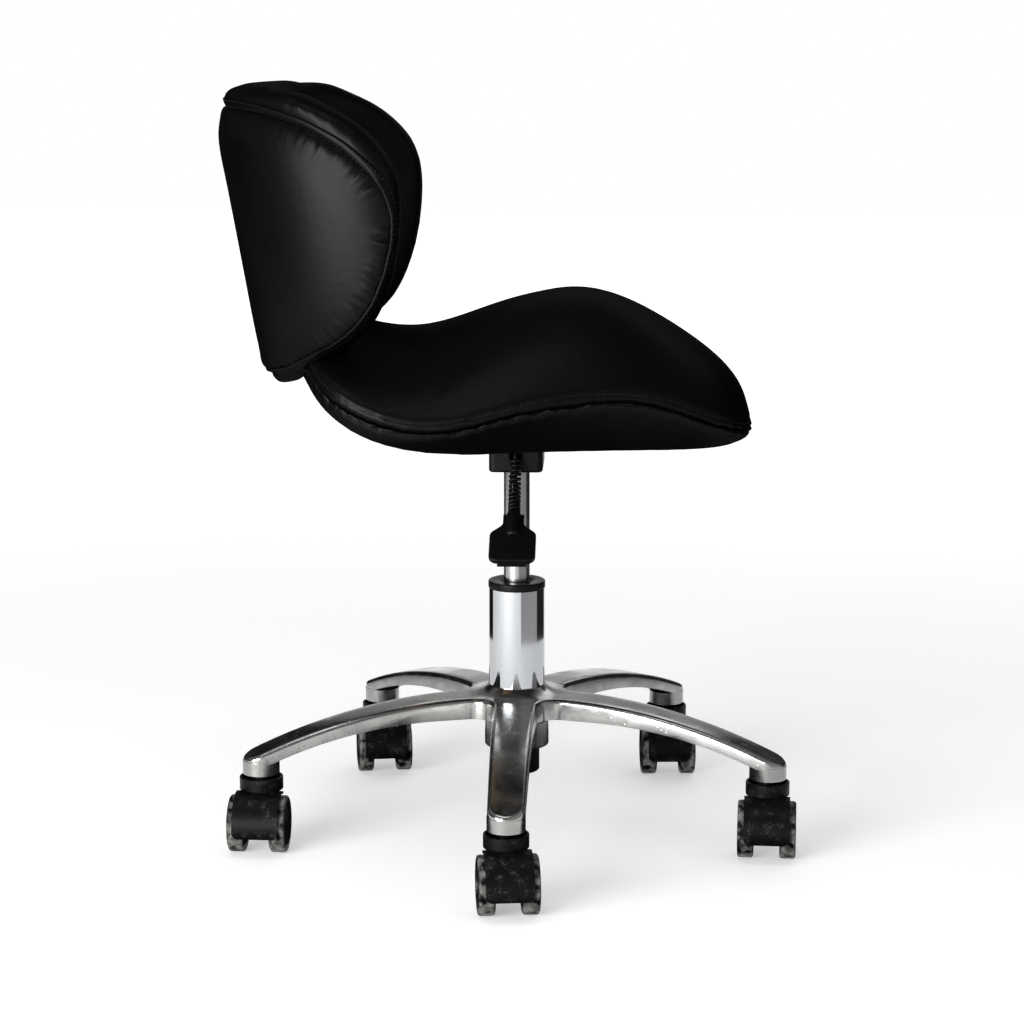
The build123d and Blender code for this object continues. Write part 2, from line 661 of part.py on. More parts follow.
def cushion_section(x, half, seam, crown):
    """Cross-section of the saddle: flat underneath, a swelling brim and one broad crown."""
    rise = crown - seam
    brim_rise = min(BRIM_RISE, BRIM_SHARE * rise)
    inset = BRIM_INSET * brim_rise / BRIM_RISE
    swell = BRIM_SWELL * brim_rise / BRIM_RISE
    brim = (half - inset, seam + brim_rise)
    chord = half - inset
    sag = rise - brim_rise
    crown_r = (chord**2 + sag**2) / (2 * sag)
    mid_y = chord / 2
    mid_z = crown - crown_r + sqrt(crown_r**2 - mid_y**2)
    side = ThreePointArc((half, seam), (half + swell, seam + brim_rise / 2), brim)
    top = ThreePointArc(brim, (mid_y, mid_z), (0, crown))
    far_top = ThreePointArc((0, crown), (-mid_y, mid_z), (-brim[0], brim[1]))
    far_side = ThreePointArc((-brim[0], brim[1]), (-half - swell, seam + brim_rise / 2), (-half, seam))
    base = Line((-half, seam), (half, seam))
    return seat_plane(x) * make_face([base, side, top, far_top, far_side])


def hull_section(x, half, seam, under_half, under):
    """Cross-section of the seat's lower body, drawn in from the seam to the flat underside."""
    top = seam - SEAT_GAP
    swell = HULL_SWELL * (top - under) / (half + top - under)
    bulge = ((half + under_half) / 2 + swell, (top + under) / 2 - HULL_SWELL / 2)
    side = ThreePointArc((under_half, under), bulge, (half, top))
    far_side = ThreePointArc((-half, top), (-bulge[0], bulge[1]), (-under_half, under))
    lid = Line((half, top), (-half, top))
    floor = Line((-under_half, under), (under_half, under))
    return seat_plane(x) * make_face([floor, side, lid, far_side])


def pan_line():
    middle = PAN_BOTTOM + PAN_THICKNESS / 2
    rise = (PAN_BEND_X - PAN_REAR_X) * tan(radians(PAN_UPTURN))
    return [(PAN_FRONT_X, middle), (PAN_BEND_X, middle), (PAN_REAR_X, middle + rise)]


def make_pan(grow=0.0):
    points = pan_line()
    strip = bent_strip(points, PAN_BEND_R, PAN_WIDTH + 2 * grow, PAN_THICKNESS + 2 * grow)
    middle = (PAN_FRONT_X + PAN_REAR_X) / 2
    length = PAN_FRONT_X - PAN_REAR_X + 2 * grow
    plan = Pos(middle, 0) * RectangleRounded(length, PAN_WIDTH + 2 * grow, PAN_CORNER)
    return strip & extrude(plan, 2 * PAN_BOTTOM)


def pan_underside(x):
    """Height of the pan's sloping underside behind its bend."""
    slope = radians(PAN_UPTURN)
    middle = PAN_BOTTOM + PAN_THICKNESS / 2 + (PAN_BEND_X - x) * tan(slope)
    return middle - PAN_THICKNESS / 2 / cos(slope)


def pan_frame(x):
    """Place on the pan's sloping underside, with Z square to the wood and pointing up."""
    slope = radians(PAN_UPTURN)
    along, square = (cos(slope), 0, -sin(slope)), (sin(slope), 0, cos(slope))
    return Plane((x, 0, pan_underside(x)), x_dir=along, z_dir=square)


# Back: wrapped pad and outer panel over a curved shell, carried by a steel strap
def back_centre(height):
    """Where the back's curve is centred, which moves rearward with height as the back leans."""
    return BACK_OUTER_X + BACK_OUTER_R + (BACK_OUTER_Z - height) * tan(radians(BACK_LEAN))


def back_point(height, radius, angle, ahead=0.0):
    turn = radians(angle)
    x = back_centre(height) - radius * cos(turn) + ahead * sin(turn)
    y = radius * sin(turn) + ahead * cos(turn)
    return (x, y, height)


def wrapped_section(height, reach, inner_r, outer_r, edge_r):
    """Level section of a piece wrapped round the sitter, with swelling ends at both wings."""
    def arc(radius_a, angle_a, radius_m, angle_m, radius_b, angle_b):
        return ThreePointArc(
            back_point(height, radius_a, angle_a),
            back_point(height, radius_m, angle_m),
            back_point(height, radius_b, angle_b),
        )

    def tip(side):
        swell = BACK_TIP_SWELL * (edge_r - inner_r)
        middle = back_point(height, (edge_r + inner_r) / 2, reach, swell)
        ends = [back_point(height, radius, reach) for radius in (edge_r, inner_r)]
        return ThreePointArc(*[(x, side * y, z) for x, y, z in (ends[0], middle, ends[1])])

    shoulder_r = outer_r - PANEL_SHOULDER * (outer_r - edge_r)
    edges = [
        arc(inner_r, -reach, inner_r, -reach / 2, inner_r, 0),
        arc(inner_r, 0, inner_r, reach / 2, inner_r, reach),
        tip(1),
        arc(edge_r, reach, shoulder_r, reach * PANEL_SHOULDER_AT, outer_r, 0),
        arc(outer_r, 0, shoulder_r, -reach * PANEL_SHOULDER_AT, edge_r, -reach),
        tip(-1),
    ]
    return make_face(edges)


def make_back_pad(grow=0.0):
    faces = []
    for height, reach, _, pad, panel, inset in BACK_STATIONS:
        part_r = BACK_OUTER_R - inset - panel
        faces.append(wrapped_section(height, reach, part_r - pad, part_r + grow, part_r + grow))
    return loft(faces)


def make_back_panel():
    """Puffed outer panel, which lies on the pad and ends short of its edge all round."""
    faces = []
    for height, _, reach, _, panel, inset in BACK_STATIONS:
        outer_r = BACK_OUTER_R - inset
        part_r = outer_r - panel
        if panel:
            edge_r = part_r + BACK_SEAM_GAP + PANEL_EDGE * panel
            faces.append(wrapped_section(height, reach, part_r - PANEL_ROOT, outer_r, edge_r))
    return loft(faces) - make_back_pad(BACK_SEAM_GAP)


def back_room():
    """The space that the whole back fills, with a little room round it."""
    faces = []
    for height, reach, _, pad, panel, inset in BACK_STATIONS:
        inner_r = BACK_OUTER_R - inset - panel - pad - BACK_ROOM
        outer_r = BACK_OUTER_R - inset + BACK_ROOM
        faces.append(wrapped_section(height - BACK_ROOM, reach + BACK_ROOM_TURN, inner_r, outer_r, outer_r))
    return loft(faces)


def make_shell(grow=0.0):
    """Curved plywood inside the back, leaning with it."""
    outer_r = BACK_OUTER_R - SHELL_PANEL_DEPTH + grow
    inner_r = outer_r - SHELL_THICKNESS - 2 * grow
    reach = SHELL_REACH + degrees(grow / inner_r)
    bottom = SHELL_BOTTOM - grow
    corners = [back_point(bottom, radius, side * reach) for radius in (outer_r, inner_r) for side in (-1, 1)]
    outer = ThreePointArc(corners[0], back_point(bottom, outer_r, 0), corners[1])
    inner = ThreePointArc(corners[2], back_point(bottom, inner_r, 0), corners[3])
    outline = make_face([outer, Line(corners[1], corners[3]), inner, Line(corners[2], corners[0])])
    height = SHELL_TOP - SHELL_BOTTOM + 2 * grow
    lean = Vector(-tan(radians(BACK_LEAN)), 0, 1)
    return extrude(outline, height * lean.length, dir=lean)


def strap_line():
    """Side view of the strap: along the pan's underside, then up the back of the shell."""
    half = STRAP_THICKNESS / 2 + PRESS_GAP
    slope = tan(radians(PAN_UPTURN))
    lean = tan(radians(BACK_LEAN))

    def under_pan(x):
        return (x, pan_underside(x) - half / cos(radians(PAN_UPTURN)))

    def behind_shell(height):
        shell_x = back_point(height, BACK_OUTER_R - SHELL_PANEL_DEPTH, 0)[0]
        return (shell_x - half / cos(radians(BACK_LEAN)), height)

    foot_x, foot_z = behind_shell(PAN_BOTTOM)
    start_x, start_z = under_pan(foot_x)
    climb = (start_z - foot_z) / (1 - slope * lean)
    knee = (foot_x - climb * lean, foot_z + climb)
    return [under_pan(STRAP_FRONT_X), knee, behind_shell(STRAP_TOP)]


def make_strap(grow=0.0):
    return bent_strip(strap_line(), STRAP_BEND_R, STRAP_WIDTH + 2 * grow, STRAP_THICKNESS + 2 * grow)


def back_bolts(grow=0.0):
    """Two bolts up through the strap into the pan, and two forward through it into the shell."""
    def bolt(frame, grip):
        head = Pos(0, 0, -STRAP_THICKNESS - BACK_BOLT_HEAD - grow) * extrude(
            Circle(BACK_BOLT_HEAD_R + grow), BACK_BOLT_HEAD + grow
        )
        shank = Pos(0, 0, -STRAP_THICKNESS) * extrude(Circle(BACK_BOLT_R + grow), STRAP_THICKNESS + grip)
        return frame.location * (head + shank)

    lean = radians(BACK_LEAN)
    bolts = [bolt(pan_frame(x), PAN_THICKNESS * BACK_BOLT_GRIP) for x in PAN_BOLT_X]
    for height in BACK_BOLT_Z:
        x = back_point(height, BACK_OUTER_R - SHELL_PANEL_DEPTH, 0)[0] - PRESS_GAP
        frame = Plane((x, 0, height), x_dir=(0, 1, 0), z_dir=(cos(lean), 0, sin(lean)))
        bolts.append(bolt(frame, SHELL_THICKNESS * BACK_BOLT_GRIP))
    return bolts


def make_dust_cover():
    """Thin black cloth under the seat, cut out round the mechanism's flange."""
    middle = (COVER_FRONT_X + COVER_REAR_X) / 2
    sheet = Pos(middle, 0) * RectangleRounded(COVER_FRONT_X - COVER_REAR_X, COVER_WIDTH, PAN_CORNER)
    window = RectangleRounded(PLATE_LENGTH + 2 * COVER_GAP, PLATE_WIDTH + 2 * COVER_GAP, PLATE_CORNER)
    return Pos(0, 0, PAN_BOTTOM - COVER_THICKNESS) * extrude(sheet - window, COVER_THICKNESS)


def make_upholstery():
    cushion = loft([cushion_section(*upper) for *upper, _, _ in SEAT_STATIONS])
    hull = loft([hull_section(x, half, seam, *under) for x, half, seam, _, *under in SEAT_STATIONS])
    pad = make_back_pad()
    panel = make_back_panel()
    room = back_room()
    inner_pieces = [make_pan(SEAT_GAP), make_strap(SEAT_GAP), *back_bolts(SEAT_GAP)]
    nut_room = rod(TEE_FLANGE_R + SEAT_GAP, PAN_BOTTOM, PAN_BOTTOM + PAN_THICKNESS + 2 * TEE_FLANGE)
    inner_pieces += [Pos(x, y, 0) * nut_room for x, y in bolt_spots()]
    underside = Pos(0, 0, PAN_BOTTOM) * Box(
        3 * PAN_FRONT_X, 3 * PAN_WIDTH, PAN_BOTTOM, align=(Align.CENTER, Align.CENTER, Align.MAX)
    )
    cushion = cushion - room
    hull = hull - room - underside - cushion
    for piece in inner_pieces:
        cushion = cushion - piece
        hull = hull - piece
    for piece in [make_shell(SEAT_GAP), make_strap(SEAT_GAP), *back_bolts(SEAT_GAP)]:
        pad = pad - piece
        panel = panel - piece
    pan = make_pan()
    shell = make_shell()
    strap = make_strap()
    for bolt in back_bolts(PRESS_GAP):
        pan = pan - bolt
        shell = shell - bolt
        strap = strap - bolt
    for x, y in bolt_spots():
        pan = pan - Pos(x, y, 0) * rod(TEE_BARREL_R + PRESS_GAP, PAN_BOTTOM, PAN_BOTTOM + PAN_THICKNESS)
    return {
        "seat_cushion": cushion,
        "seat_lower_body": hull,
        "seat_pan": pan,
        "seat_dust_cover": make_dust_cover(),
        "back_pad": pad,
        "back_panel": panel,
        "back_shell": shell,
        "back_strap": strap,
        "back_bolts": Compound(children=back_bolts()),
    }


# Casters, drawn with the stem on the Z axis and the wheels trailing towards -Y
def make_wheel(side):
    """Wheel with rounded tread edges, a dished face and a closed hub."""
    inner = WHEEL_GAP / 2
    outer = inner + WHEEL_WIDTH
    hub = WEB_WIDTH / 2 + SEAT_GAP
    bore_end = AXLE_LENGTH / 2 + SEAT_GAP
    bore_r = AXLE_R + RUN_GAP
    outline = make_face(Polyline(
        (hub, bore_r),
        (hub, WHEEL_HUB_R),
        (inner + WHEEL_DISH, WHEEL_HUB_R),
        (inner + WHEEL_DISH, WHEEL_DISH_R),
        (inner, WHEEL_DISH_R),
        (inner, WHEEL_R),
        (outer, WHEEL_R),
        (outer, WHEEL_DISH_R),
        (outer - WHEEL_DISH, WHEEL_DISH_R - WHEEL_DISH / 2),
        (outer - WHEEL_DISH / 2, 0),
        (bore_end, 0),
        (bore_end, bore_r),
        close=True,
    ))
    tread = [v for v in outline.vertices() if abs(v.Y - WHEEL_R) < EDGE_MATCH]
    outline = fillet(tread, WHEEL_EDGE)
    wheel = Pos(0, -CASTER_TRAIL, WHEEL_R) * revolve(outline, Axis.X)
    return wheel if side > 0 else mirror(wheel, Plane.YZ)


def hood_point(radius, angle):
    """Side-view point round the axle, angles from straight up towards the trailing side."""
    turn = radians(angle)
    return (-CASTER_TRAIL - radius * sin(turn), WHEEL_R + radius * cos(turn))


def make_caster_body():
    """Moulded fork: a web between the wheels, a curved hood over them and a cup under the leg."""
    inner_r = WHEEL_R + HOOD_GAP
    outer_r = inner_r + HOOD_WALL
    middle = (HOOD_START + HOOD_END) / 2
    ends = [hood_point(radius, angle) for radius in (inner_r, outer_r) for angle in (HOOD_START, HOOD_END)]
    inner_arc = ThreePointArc(ends[0], hood_point(inner_r, middle), ends[1])
    outer_arc = ThreePointArc(ends[2], hood_point(outer_r, middle), ends[3])
    hood_face = make_face([inner_arc, Line(ends[1], ends[3]), outer_arc, Line(ends[2], ends[0])])
    axle_spot = (-CASTER_TRAIL, WHEEL_R)
    web_face = make_face([inner_arc, Line(ends[1], axle_spot), Line(axle_spot, ends[0])])
    hub = Pos(*axle_spot) * Circle(WEB_AXLE_R)
    neck = Pos(0, CUP_BOTTOM) * Circle(STEM_BOSS_R)
    arm_face = make_hull([*hub.edges(), *neck.edges()])
    hood = extrude(Plane.YZ * hood_face, HOOD_WIDTH / 2, both=True)
    lower_edges = hood.edges().filter_by(lambda e: e.length < 2 * HOOD_WALL).group_by(Axis.Z)[0]
    hood = fillet(lower_edges, HOOD_CORNER)
    web = extrude(Plane.YZ * web_face, WEB_WIDTH / 2, both=True)
    arm = extrude(Plane.YZ * arm_face, WEB_WIDTH / 2, both=True)
    cup = rod(CUP_R, CUP_BOTTOM, CUP_TOP)
    cup = fillet(cup.edges().filter_by(GeomType.CIRCLE), CUP_EDGE)
    cup = cup - rod(CUP_R - CUP_RIM, CUP_TOP - CUP_DEPTH, CUP_TOP)
    boss = rod(STEM_BOSS_R, CUP_BOTTOM, BOSS_BOTTOM - STEM_SHOULDER - SEAT_GAP)
    body = hood + web + arm + cup + boss
    body = body - rod(STEM_R + PRESS_GAP, STEM_BOTTOM, BOSS_BOTTOM)
    axle_bore = Pos(0, -CASTER_TRAIL, WHEEL_R) * Rot(0, 90, 0) * Cylinder(AXLE_R + PRESS_GAP, WEB_WIDTH)
    return body - axle_bore


def make_stem():
    """Steel stem with a shoulder under the leg and a spring grip ring near its top."""
    top = BOSS_BOTTOM + STEM_SOCKET_DEPTH - SEAT_GAP
    shoulder_top = BOSS_BOTTOM - SEAT_GAP
    stem = rod(STEM_R, STEM_BOTTOM, top)
    stem = chamfer(stem.edges().filter_by(GeomType.CIRCLE).sort_by(Axis.Z)[-1], STEM_CHAMFER)
    stem = stem + rod(STEM_SHOULDER_R, shoulder_top - STEM_SHOULDER, shoulder_top)
    groove = Pos(0, 0, top - 4 * GRIP_RING_R) * Torus(STEM_R, GRIP_RING_R)
    return stem - groove


def make_axle():
    return Pos(0, -CASTER_TRAIL, WHEEL_R) * Rot(0, 90, 0) * Cylinder(AXLE_R, AXLE_LENGTH)


def save_casters():
    pieces = {
        "body": make_caster_body(),
        "stem": make_stem(),
        "axle": make_axle(),
        "wheel_right": make_wheel(1),
        "wheel_left": make_wheel(-1),
    }
    for index, (angle, yaw) in enumerate(zip(LEG_ANGLES, CASTER_YAW), start=1):
        place = Rot(0, 0, angle) * Pos(STEM_CIRCLE_R, 0, 0) * Rot(0, 0, yaw - angle)
        for name, solid in pieces.items():
            save(place * solid, f"caster_{index}_{name}")


save(make_base(), "base_casting")
for node, solid in make_gas_lift().items():
    save(solid, node)
save(make_mechanism(), "seat_mechanism")
save(Compound(children=[Pos(x, y, 0) * seat_bolt() for x, y in bolt_spots()]), "seat_bolts")
save(Compound(children=[Pos(x, y, 0) * tee_nut() for x, y in bolt_spots()]), "tee_nuts")
pivot_length = DISH_WIDTH + 2 * PIVOT_PIN_HEAD
save(Pos(0, PIVOT_Y, PIVOT_Z) * Rot(0, 90, 0) * Cylinder(PIVOT_PIN_R, pivot_length), "lever_pivot_pin")
save(make_lever_rod(), "lever_rod")
save(make_lever_spring(), "lever_spring")
save(make_paddle(), "lever_paddle")
for node, solid in make_upholstery().items():
    save(solid, node)
save_casters()
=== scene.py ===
# %% [markdown]
# A saddle stool with a wrap-round back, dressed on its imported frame.
# The frame gives every hard piece its exact place, so this lesson is about looks: the camera and the
# light, one finish per real material, and the sewn upholstery that no solid model can show.

# %% Load the frame
import json
import math

import bmesh
import bpy
from mathutils import Matrix, Vector, noise
from mathutils.bvhtree import BVHTree
from mathutils.kdtree import KDTree


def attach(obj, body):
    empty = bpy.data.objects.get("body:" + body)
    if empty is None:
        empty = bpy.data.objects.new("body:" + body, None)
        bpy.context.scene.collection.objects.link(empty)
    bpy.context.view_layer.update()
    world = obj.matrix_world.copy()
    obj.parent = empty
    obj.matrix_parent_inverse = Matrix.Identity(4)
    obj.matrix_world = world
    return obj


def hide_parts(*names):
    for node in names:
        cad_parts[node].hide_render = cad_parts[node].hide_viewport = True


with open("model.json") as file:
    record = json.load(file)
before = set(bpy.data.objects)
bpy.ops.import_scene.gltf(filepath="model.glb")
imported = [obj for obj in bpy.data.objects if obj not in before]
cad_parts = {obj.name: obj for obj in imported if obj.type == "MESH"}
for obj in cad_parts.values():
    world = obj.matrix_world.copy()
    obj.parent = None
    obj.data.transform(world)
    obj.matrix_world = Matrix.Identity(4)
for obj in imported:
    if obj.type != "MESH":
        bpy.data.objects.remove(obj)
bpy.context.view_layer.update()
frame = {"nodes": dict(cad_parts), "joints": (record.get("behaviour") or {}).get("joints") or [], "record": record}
MM = 0.001

# %% [markdown]
# The camera stands where the photographer stood: nearly side on, a little above the seat, with a long
# lens so that the legs hardly converge. A camera looks along its own -Z, so its turn is worked out from
# the direction of view.

# %% Camera
CAMERA_AT = Vector((0.11101, -2.96595, 0.91347))
CAMERA_LOOK = Vector((-0.03845, 0.98144, -0.18790))
CAMERA_LENS = 99.54
CAMERA_SENSOR = 36.0


def add_object(name, data):
    made = bpy.data.objects.new(name, data)
    bpy.context.scene.collection.objects.link(made)
    return made


camera = add_object("camera", bpy.data.cameras.new("camera"))
camera.data.lens = CAMERA_LENS
camera.data.sensor_width = CAMERA_SENSOR
camera.location = CAMERA_AT
camera.rotation_euler = CAMERA_LOOK.to_track_quat("-Z", "Y").to_euler()
bpy.context.scene.camera = camera
bpy.context.scene.view_settings.view_transform = "Standard"
print("camera distance in mm:", round(CAMERA_AT.length / MM))

# %% [markdown]
# Colours are written as sRGB hex codes, as a paint chart gives them, and one function makes them linear.
# A second small function adds a shader node with its settings, values and links, and a third starts a
# material. Pattern sizes are millimetres, and a texture's scale is how many of them fit in a metre. A Mix
# node has sockets of the same name for each type of value, so the ones for colour are taken by number.

# %% Material helpers
MIX_FACTOR, MIX_A, MIX_B, MIX_COLOUR = 0, 6, 7, 2


def srgb(code):
    """Linear colour of an sRGB hex code."""
    channels = [int(code[start:start + 2], 16) / 255 for start in (0, 2, 4)]
    linear = [c / 12.92 if c <= 0.04045 else ((c + 0.055) / 1.055) ** 2.4 for c in channels]
    return (*linear, 1.0)


def per(millimetres):
    """Texture scale for a pattern of this size."""
    return 1.0 / (millimetres * MM)


def node(tree, kind, settings={}, values={}, links={}):
    made = tree.nodes.new(kind)
    for name, value in settings.items():
        setattr(made, name, value)
    for socket, value in values.items():
        made.inputs[socket].default_value = value
    for socket, source in links.items():
        tree.links.new(source, made.inputs[socket])
    return made


def blank(name, values):
    """New material with its shader's own values set, and the place on the piece as a texture vector."""
    material = bpy.data.materials.new(name)
    material.use_nodes = True
    tree = material.node_tree
    shader = tree.nodes["Principled BSDF"]
    for socket, value in values.items():
        shader.inputs[socket].default_value = value
    where = node(tree, "ShaderNodeTexCoord").outputs["Object"]
    return material, tree, shader, where


# %% [markdown]
# The room is a studio: a pale floor that runs out into a white surround. Both are white to the camera, to
# glossy rays and to rays through glass, so that metal mirrors them, while the light that falls on the
# stool stays at a plain level. The floor is lifted to white most where it is far away, and keeps the
# shadow near the stool.

# %% Floor
FLOOR_SIZE = 16.0
NEAR_LIFT, FAR_LIFT = 0.36, 0.95
LIFT_FROM, LIFT_TO = 0.6, 4.5


def mesh_object(name, work):
    """Object with the shape of a bmesh, which is then freed."""
    made = add_object(name, bpy.data.meshes.new(name))
    work.to_mesh(made.data)
    work.free()
    return made


def sees_background(tree, rays):
    """1 for a ray that should see the background white: from the camera, off metal or through glass."""
    seen = rays.outputs["Is Camera Ray"]
    for kind in ("Is Glossy Ray", "Is Transmission Ray"):
        either = node(
            tree, "ShaderNodeMath", {"operation": "MAXIMUM"}, links={0: seen, 1: rays.outputs[kind]}
        )
        seen = either.outputs[0]
    return seen


work = bmesh.new()
bmesh.ops.create_grid(work, x_segments=1, y_segments=1, size=FLOOR_SIZE / 2)
floor = mesh_object("floor", work)

paper, tree, shader, where = blank("pale_floor", {
    "Base Color": srgb("e9e9e8"),
    "Roughness": 0.9,
    "Emission Color": srgb("ffffff"),
})
seen = sees_background(tree, node(tree, "ShaderNodeLightPath"))
away = node(tree, "ShaderNodeVectorMath", {"operation": "LENGTH"}, links={0: where})
white = node(
    tree, "ShaderNodeMapRange", {"interpolation_type": "SMOOTHSTEP"},
    {"From Min": LIFT_FROM, "From Max": LIFT_TO, "To Min": NEAR_LIFT, "To Max": FAR_LIFT},
    {"Value": away.outputs["Value"]},
)
lift = node(
    tree, "ShaderNodeMath", {"operation": "MULTIPLY"}, links={0: seen, 1: white.outputs["Result"]}
)
tree.links.new(lift.outputs[0], shader.inputs["Emission Strength"])
floor.data.materials.append(paper)
print("floor side in m:", FLOOR_SIZE)

# %% [markdown]
# In reflections the surround darkens towards the ceiling, as a real studio does, because polished metal
# and black vinyl get their depth from the dark places that they mirror. The height of a ray's direction
# says how far up it looks, and only glossy rays are dimmed by it.

# %% Surround
SURROUND_LIGHT = 0.4
WALL_TOP, CEILING_FROM = math.sin(math.radians(3)), math.sin(math.radians(20))
CEILING_LIGHT = 0.22

world = bpy.data.worlds.new("studio")
bpy.context.scene.world = world
world.use_nodes = True
tree = world.node_tree
rays = node(tree, "ShaderNodeLightPath")
seen = sees_background(tree, rays)
level = node(
    tree, "ShaderNodeMapRange", {}, {"To Min": SURROUND_LIGHT, "To Max": 1.0}, {"Value": seen}
)
height = node(
    tree, "ShaderNodeSeparateXYZ", links={0: node(tree, "ShaderNodeTexCoord").outputs["Generated"]}
)
wall = node(
    tree, "ShaderNodeMapRange", {"interpolation_type": "SMOOTHSTEP"},
    {"From Min": WALL_TOP, "From Max": CEILING_FROM, "To Min": 1.0, "To Max": CEILING_LIGHT},
    {"Value": height.outputs["Z"]},
)
plain = node(
    tree, "ShaderNodeMath", {"operation": "SUBTRACT"}, {0: 1.0}, {1: rays.outputs["Is Glossy Ray"]}
)
share = node(
    tree, "ShaderNodeMath", {"operation": "MAXIMUM"},
    links={0: wall.outputs["Result"], 1: plain.outputs[0]},
)
strength = node(
    tree, "ShaderNodeMath", {"operation": "MULTIPLY"},
    links={0: level.outputs["Result"], 1: share.outputs[0]},
)
tree.nodes["Background"].inputs["Color"].default_value = srgb("ffffff")
tree.links.new(strength.outputs[0], tree.nodes["Background"].inputs["Strength"])
print("surround light:", SURROUND_LIGHT, "ceiling in reflections:", CEILING_LIGHT)

# %% [markdown]
# One broad lamp low at the front left does most of the work, and weaker ones at the right, behind and
# overhead keep the far sides from going black. Each is a soft panel, given by its place, its two sides in
# metres and its watts, and turned towards the middle of the stool.

# %% Lamps
LAMPS = {
    "key_lamp": ((-1.55, -2.2, 0.6), (1.7, 1.05), 105.0),
    "fill_lamp": ((2.6, -1.6, 1.4), (1.0, 1.6), 6.0),
    "back_lamp": ((0.9, 2.5, 2.1), (3.2, 1.0), 14.0),
    "top_lamp": ((-0.4, -0.6, 2.7), (1.2, 1.2), 9.0),
}
LAMP_AIM = Vector((0.0, 0.0, 0.45))
for name, (place, size, watts) in LAMPS.items():
    lamp = add_object(name, bpy.data.lights.new(name, "AREA"))
    lamp.data.shape = "RECTANGLE"
    lamp.data.size, lamp.data.size_y = size
    lamp.data.energy = watts
    lamp.location = place
    lamp.rotation_euler = (LAMP_AIM - Vector(place)).to_track_quat("-Z", "Y").to_euler()
print("lamps:", ", ".join(LAMPS))

# %% [markdown]
# Cards shape what the metal mirrors. Without them the chrome sleeve would mirror white paper all round
# and look like a white tube. Dark cards beside the stool give it the dark edges that show it is round, and
# one flat on the floor is painted shade: it stands in for the shadow under the stool and darkens what the
# underside mirrors. They are only seen in reflections, so they throw no shadow. A standing card is part of
# a ring: two headings in degrees, a distance and a tone.

# %% Cards
CARD_HEIGHT, CARD_FOOT = 0.9, 0.01
CARD_STEPS = 12
CARDS = {
    "left_card": (-152, -112, 0.85, "1c1c1c"),
    "right_card": (92, 150, 0.85, "2a2a2a"),
    "grey_card": (19, 92, 0.85, "b0b0b0"),
    "far_card": (-128, -56, 2.2, "0a0a0a"),
}
# The floor card is painted shade: a dark disc that stands in for the shadow under the stool in reflections.
FLOOR_CARD_RADIUS, FLOOR_CARD_SIDES, FLOOR_CARD_TONE = 0.36, 48, "1e1e1e"


def stand_card(name, work, colour):
    """Card that only reflections see."""
    card = mesh_object(name, work)
    card.data.materials.append(blank(name, {
        "Base Color": srgb("000000"),
        "Roughness": 1.0,
        "Specular IOR Level": 0.0,
        "Emission Color": srgb(colour),
        "Emission Strength": 1.0,
    })[0])
    card.visible_camera = card.visible_diffuse = card.visible_shadow = False
    card.visible_transmission = False


for name, (start, end, distance, colour) in CARDS.items():
    work = bmesh.new()
    turn = math.radians(start)
    foot = work.verts.new((distance * math.sin(turn), -distance * math.cos(turn), CARD_FOOT))
    bmesh.ops.spin(
        work, geom=[foot], axis=(0.0, 0.0, 1.0), angle=math.radians(end - start), steps=CARD_STEPS
    )
    rim = bmesh.ops.extrude_edge_only(work, edges=list(work.edges))["geom"]
    risen = [item for item in rim if isinstance(item, bmesh.types.BMVert)]
    bmesh.ops.translate(work, verts=risen, vec=(0.0, 0.0, CARD_HEIGHT))
    stand_card(name, work, colour)
work = bmesh.new()
bmesh.ops.create_circle(
    work, cap_ends=True, segments=FLOOR_CARD_SIDES, radius=FLOOR_CARD_RADIUS,
    matrix=Matrix.Translation((0.0, 0.0, CARD_FOOT)),
)
stand_card("floor_shade_card", work, FLOOR_CARD_TONE)
print("cards:", ", ".join([*CARDS, "floor_shade_card"]))

# %% [markdown]
# The cover is vinyl leathercloth: a plastic skin embossed with a fine grain. It is almost black, with
# only a weak, broad sheen. The shader's own reflection would draw bright lines along every ridge, so it is
# turned off, and a faint rough coat gives the sheen: its high index keeps it even at low angles. Real
# grain is about half a millimetre and would not show, so it is drawn three times as coarse.

# %% Black vinyl and thread
VINYL_GRAIN = 1.6
VINYL_CREASE = 11.0
VINYL_TONE = 75.0


def black_vinyl():
    material, tree, shader, where = blank("black_vinyl", {
        "IOR": 1.5,
        "Specular IOR Level": 0.0,
        "Coat Weight": 0.023,
        "Coat IOR": 3.2,
        "Coat Roughness": 0.38,
    })
    tone = node(
        tree, "ShaderNodeTexNoise", {}, {"Scale": per(VINYL_TONE), "Detail": 3.0}, {"Vector": where}
    )
    colour = node(
        tree, "ShaderNodeMix", {"data_type": "RGBA"},
        {MIX_A: srgb("020203"), MIX_B: srgb("070708")}, {MIX_FACTOR: tone.outputs["Fac"]},
    )
    rough = node(
        tree, "ShaderNodeMapRange", {}, {"To Min": 0.42, "To Max": 0.58}, {"Value": tone.outputs["Fac"]}
    )
    grain = node(tree, "ShaderNodeTexVoronoi", {}, {"Scale": per(VINYL_GRAIN)}, {"Vector": where})
    crease = node(
        tree, "ShaderNodeTexNoise", {}, {"Scale": per(VINYL_CREASE), "Detail": 4.0}, {"Vector": where}
    )
    fine = node(
        tree, "ShaderNodeBump", {}, {"Strength": 0.22, "Distance": 0.25 * MM},
        {"Height": grain.outputs["Distance"]},
    )
    broad = node(
        tree, "ShaderNodeBump", {}, {"Strength": 0.18, "Distance": 1.2 * MM},
        {"Height": crease.outputs["Fac"], "Normal": fine.outputs["Normal"]},
    )
    tree.links.new(colour.outputs[MIX_COLOUR], shader.inputs["Base Color"])
    tree.links.new(rough.outputs["Result"], shader.inputs["Roughness"])
    tree.links.new(broad.outputs["Normal"], shader.inputs["Normal"])
    tree.links.new(broad.outputs["Normal"], shader.inputs["Coat Normal"])
    return material


THREAD_TWIST = 0.9


